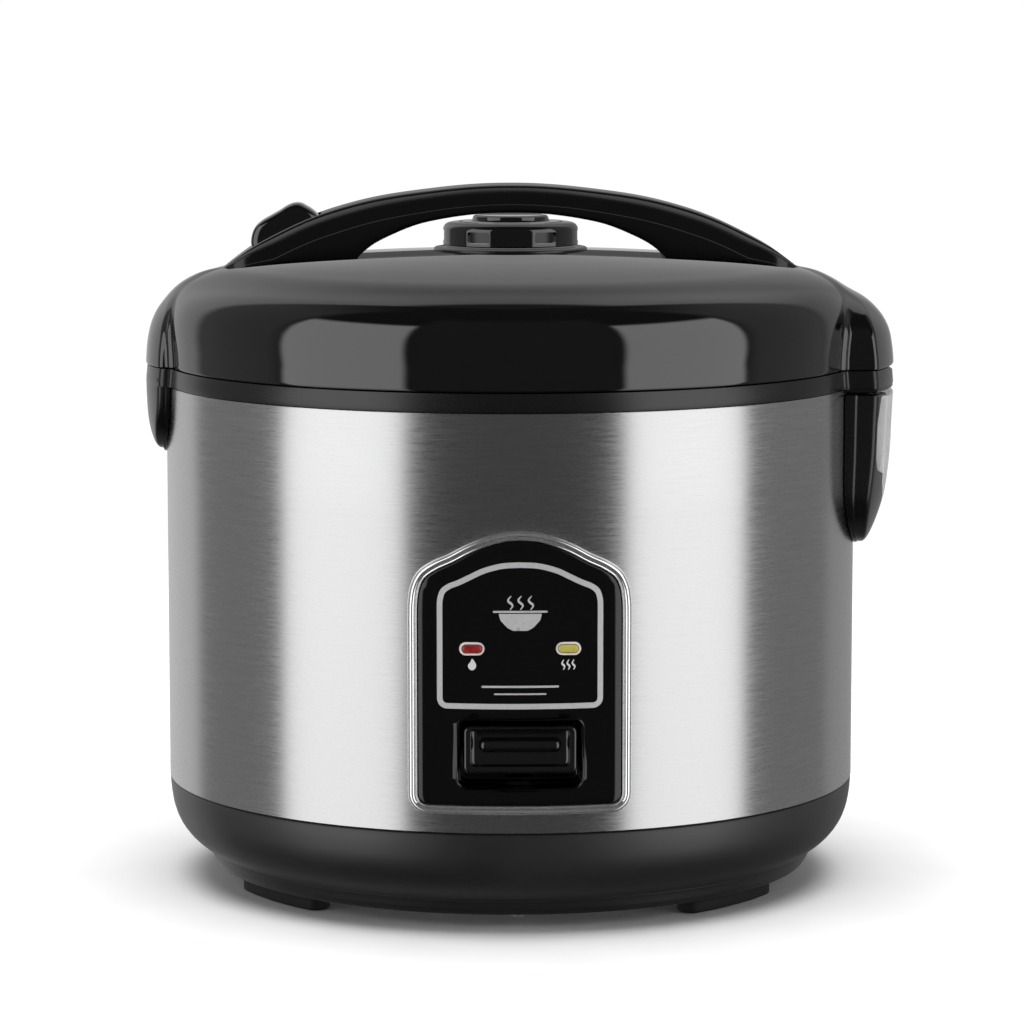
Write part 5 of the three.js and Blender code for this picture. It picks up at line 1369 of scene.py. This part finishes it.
# ---------------------------------------------------------------- stage, light and camera
def stage():
    sc = bpy.context.scene
    sc.view_settings.view_transform = "Standard"
    sc.view_settings.look = "None"
    seg, R = 96, 0.9
    V = [(AX * 0.001, 0, -0.0002)]
    for r in (0.2, 0.4, 0.65, R):
        V += [(AX * 0.001 + r * math.sin(2 * PI * k / seg), -r * math.cos(2 * PI * k / seg), -0.0002) for k in range(seg)]
    F = [(0, 1 + k, 1 + (k + 1) % seg) for k in range(seg)]
    for j in range(3):
        a, b = 1 + j * seg, 1 + (j + 1) * seg
        F += [(a + k, b + k, b + (k + 1) % seg, a + (k + 1) % seg) for k in range(seg)]
    me = bpy.data.meshes.new("floor")
    me.from_pydata(V, [], F)
    fl = bpy.data.objects.new("floor", me)
    sc.collection.objects.link(fl)
    t = Mat("pale_floor", (0.94, 0.94, 0.94), 0.6, 0.0, Specular_IOR_Level=0.2)
    n = t.noise(30.0, 4.0, 0.6)
    t.rough(n, 0.55, 0.7).color(n, (0.93, 0.93, 0.93), (0.95, 0.95, 0.95))
    me.materials.append(t.m)
    fl.visible_glossy = False

    # soft overhead light that whitens the floor
    la = bpy.data.lights.new("overhead", "AREA")
    la.shape = "DISK"
    la.size = 2.6
    la.energy = OVERHEAD_W
    lo = bpy.data.objects.new("overhead", la)
    lo.location = (0, -0.1, 2.2)
    sc.collection.objects.link(lo)
    lo.visible_glossy = False

    w = bpy.data.worlds.new("studio")
    sc.world = w
    w.use_nodes = True
    nt = w.node_tree
    for x in list(nt.nodes):
        nt.nodes.remove(x)
    N = nt.nodes.new

    def val(x, sock):
        if isinstance(x, (int, float)):
            sock.default_value = x
        else:
            nt.links.new(x, sock)

    def m(op, a, b=0.0, c=None):
        n = N("ShaderNodeMath")
        n.operation = op
        val(a, n.inputs[0])
        val(b, n.inputs[1])
        return n.outputs[0]

    def step(x, a, b, lo=0.0, hi=1.0):
        n = N("ShaderNodeMapRange")
        n.interpolation_type = "SMOOTHSTEP"
        for k, v in (("From Min", a), ("From Max", b), ("To Min", lo), ("To Max", hi)):
            n.inputs[k].default_value = v
        nt.links.new(x, n.inputs["Value"])
        return n.outputs["Result"]

    tc = N("ShaderNodeTexCoord")
    sp = N("ShaderNodeSeparateXYZ")
    nt.links.new(tc.outputs["Generated"], sp.inputs[0])
    X, Y, Z = sp.outputs
    deg = 180 / PI
    azs = m("MULTIPLY", m("ARCTAN2", X, m("MULTIPLY", Y, -1.0)), deg)
    az = m("ABSOLUTE", azs)
    el = m("MULTIPLY", m("ARCSINE", Z), deg)

    def band(x, a, b, soft):
        return m("MULTIPLY", step(x, a - soft, a + soft), step(x, b - soft, b + soft, 1.0, 0.0))

    boxes = m("MULTIPLY", band(az, SB[0], SB[1], SB[2]), band(el, SB[3], SB[4], 3.0))
    front = m("MULTIPLY", step(az, 30, 40, 1.0, 0.0), step(el, 48, 62, 1.0, 0.0))
    mid = m("MULTIPLY", band(az, 84, 128, 6.0), step(el, 45, 75, 1.0, 0.0))
    back = step(az, 124, 133)
    back_l = m("MULTIPLY", step(el, 2, 30, BACK[0], BACK[1]), step(el, 66, 75, 1.0, BACK[2]))
    below = step(el, -38, -12, 0.25, 1.0)
    L = m("ADD", m("MULTIPLY", boxes, SOFT_L), AMB)
    L = m("ADD", L, m("MULTIPLY", front, FRONT_L))
    L = m("ADD", L, m("MULTIPLY", mid, MID_L))
    dim = m("MULTIPLY", band(azs, 112, 168, 8.0), step(el, 22, 48, 1.0, 0.0))
    back = m("MULTIPLY", back, m("SUBTRACT", 1.0, m("MULTIPLY", dim, 0.5)))
    low = m("MULTIPLY", step(el, -8, 12, 0.0, 0.60), step(el, 38, 58, 1.0, 0.40))
    back = m("MULTIPLY", back, m("SUBTRACT", 1.0, m("MULTIPLY", step(az, 150, 177), low)))
    L = m("ADD", L, m("MULTIPLY", back, back_l))
    L = m("MULTIPLY", L, below)
    lp = N("ShaderNodeLightPath")
    mixv = N("ShaderNodeMix")
    mixv.data_type = "FLOAT"
    nt.links.new(lp.outputs["Is Camera Ray"], mixv.inputs[0])
    nt.links.new(L, mixv.inputs[2])
    mixv.inputs[3].default_value = 1.02
    bg = N("ShaderNodeBackground")
    bg.inputs["Color"].default_value = (1, 1, 1, 1)
    nt.links.new(mixv.outputs[0], bg.inputs["Strength"])
    out = N("ShaderNodeOutputWorld")
    nt.links.new(bg.outputs[0], out.inputs[0])
    w.cycles.sampling_method = "MANUAL"
    w.cycles.sample_map_resolution = 1024

    cam = bpy.data.cameras.new("camera")
    cam.lens, cam.sensor_width, cam.sensor_fit = 147.74, 36.0, "AUTO"
    cam.clip_start, cam.clip_end = 0.05, 50
    co = bpy.data.objects.new("camera", cam)
    co.location = ((-41.0 + AX) * 0.001, -1.5868, 0.3333)
    q = Vector((0.02598, 0.99206, -0.12296)).to_track_quat("-Z", "Y")
    co.rotation_mode = "QUATERNION"
    co.rotation_quaternion = q
    sc.collection.objects.link(co)
    sc.camera = co


OVERHEAD_W = 74.0
SB = (36.5, 82.0, 1.6, -40.0, 38.0)
BACK = (0.62, 0.72, 0.06)
AMB, FRONT_L, MID_L, SOFT_L = 0.042, 0.046, 0.20, 1.70
stage()
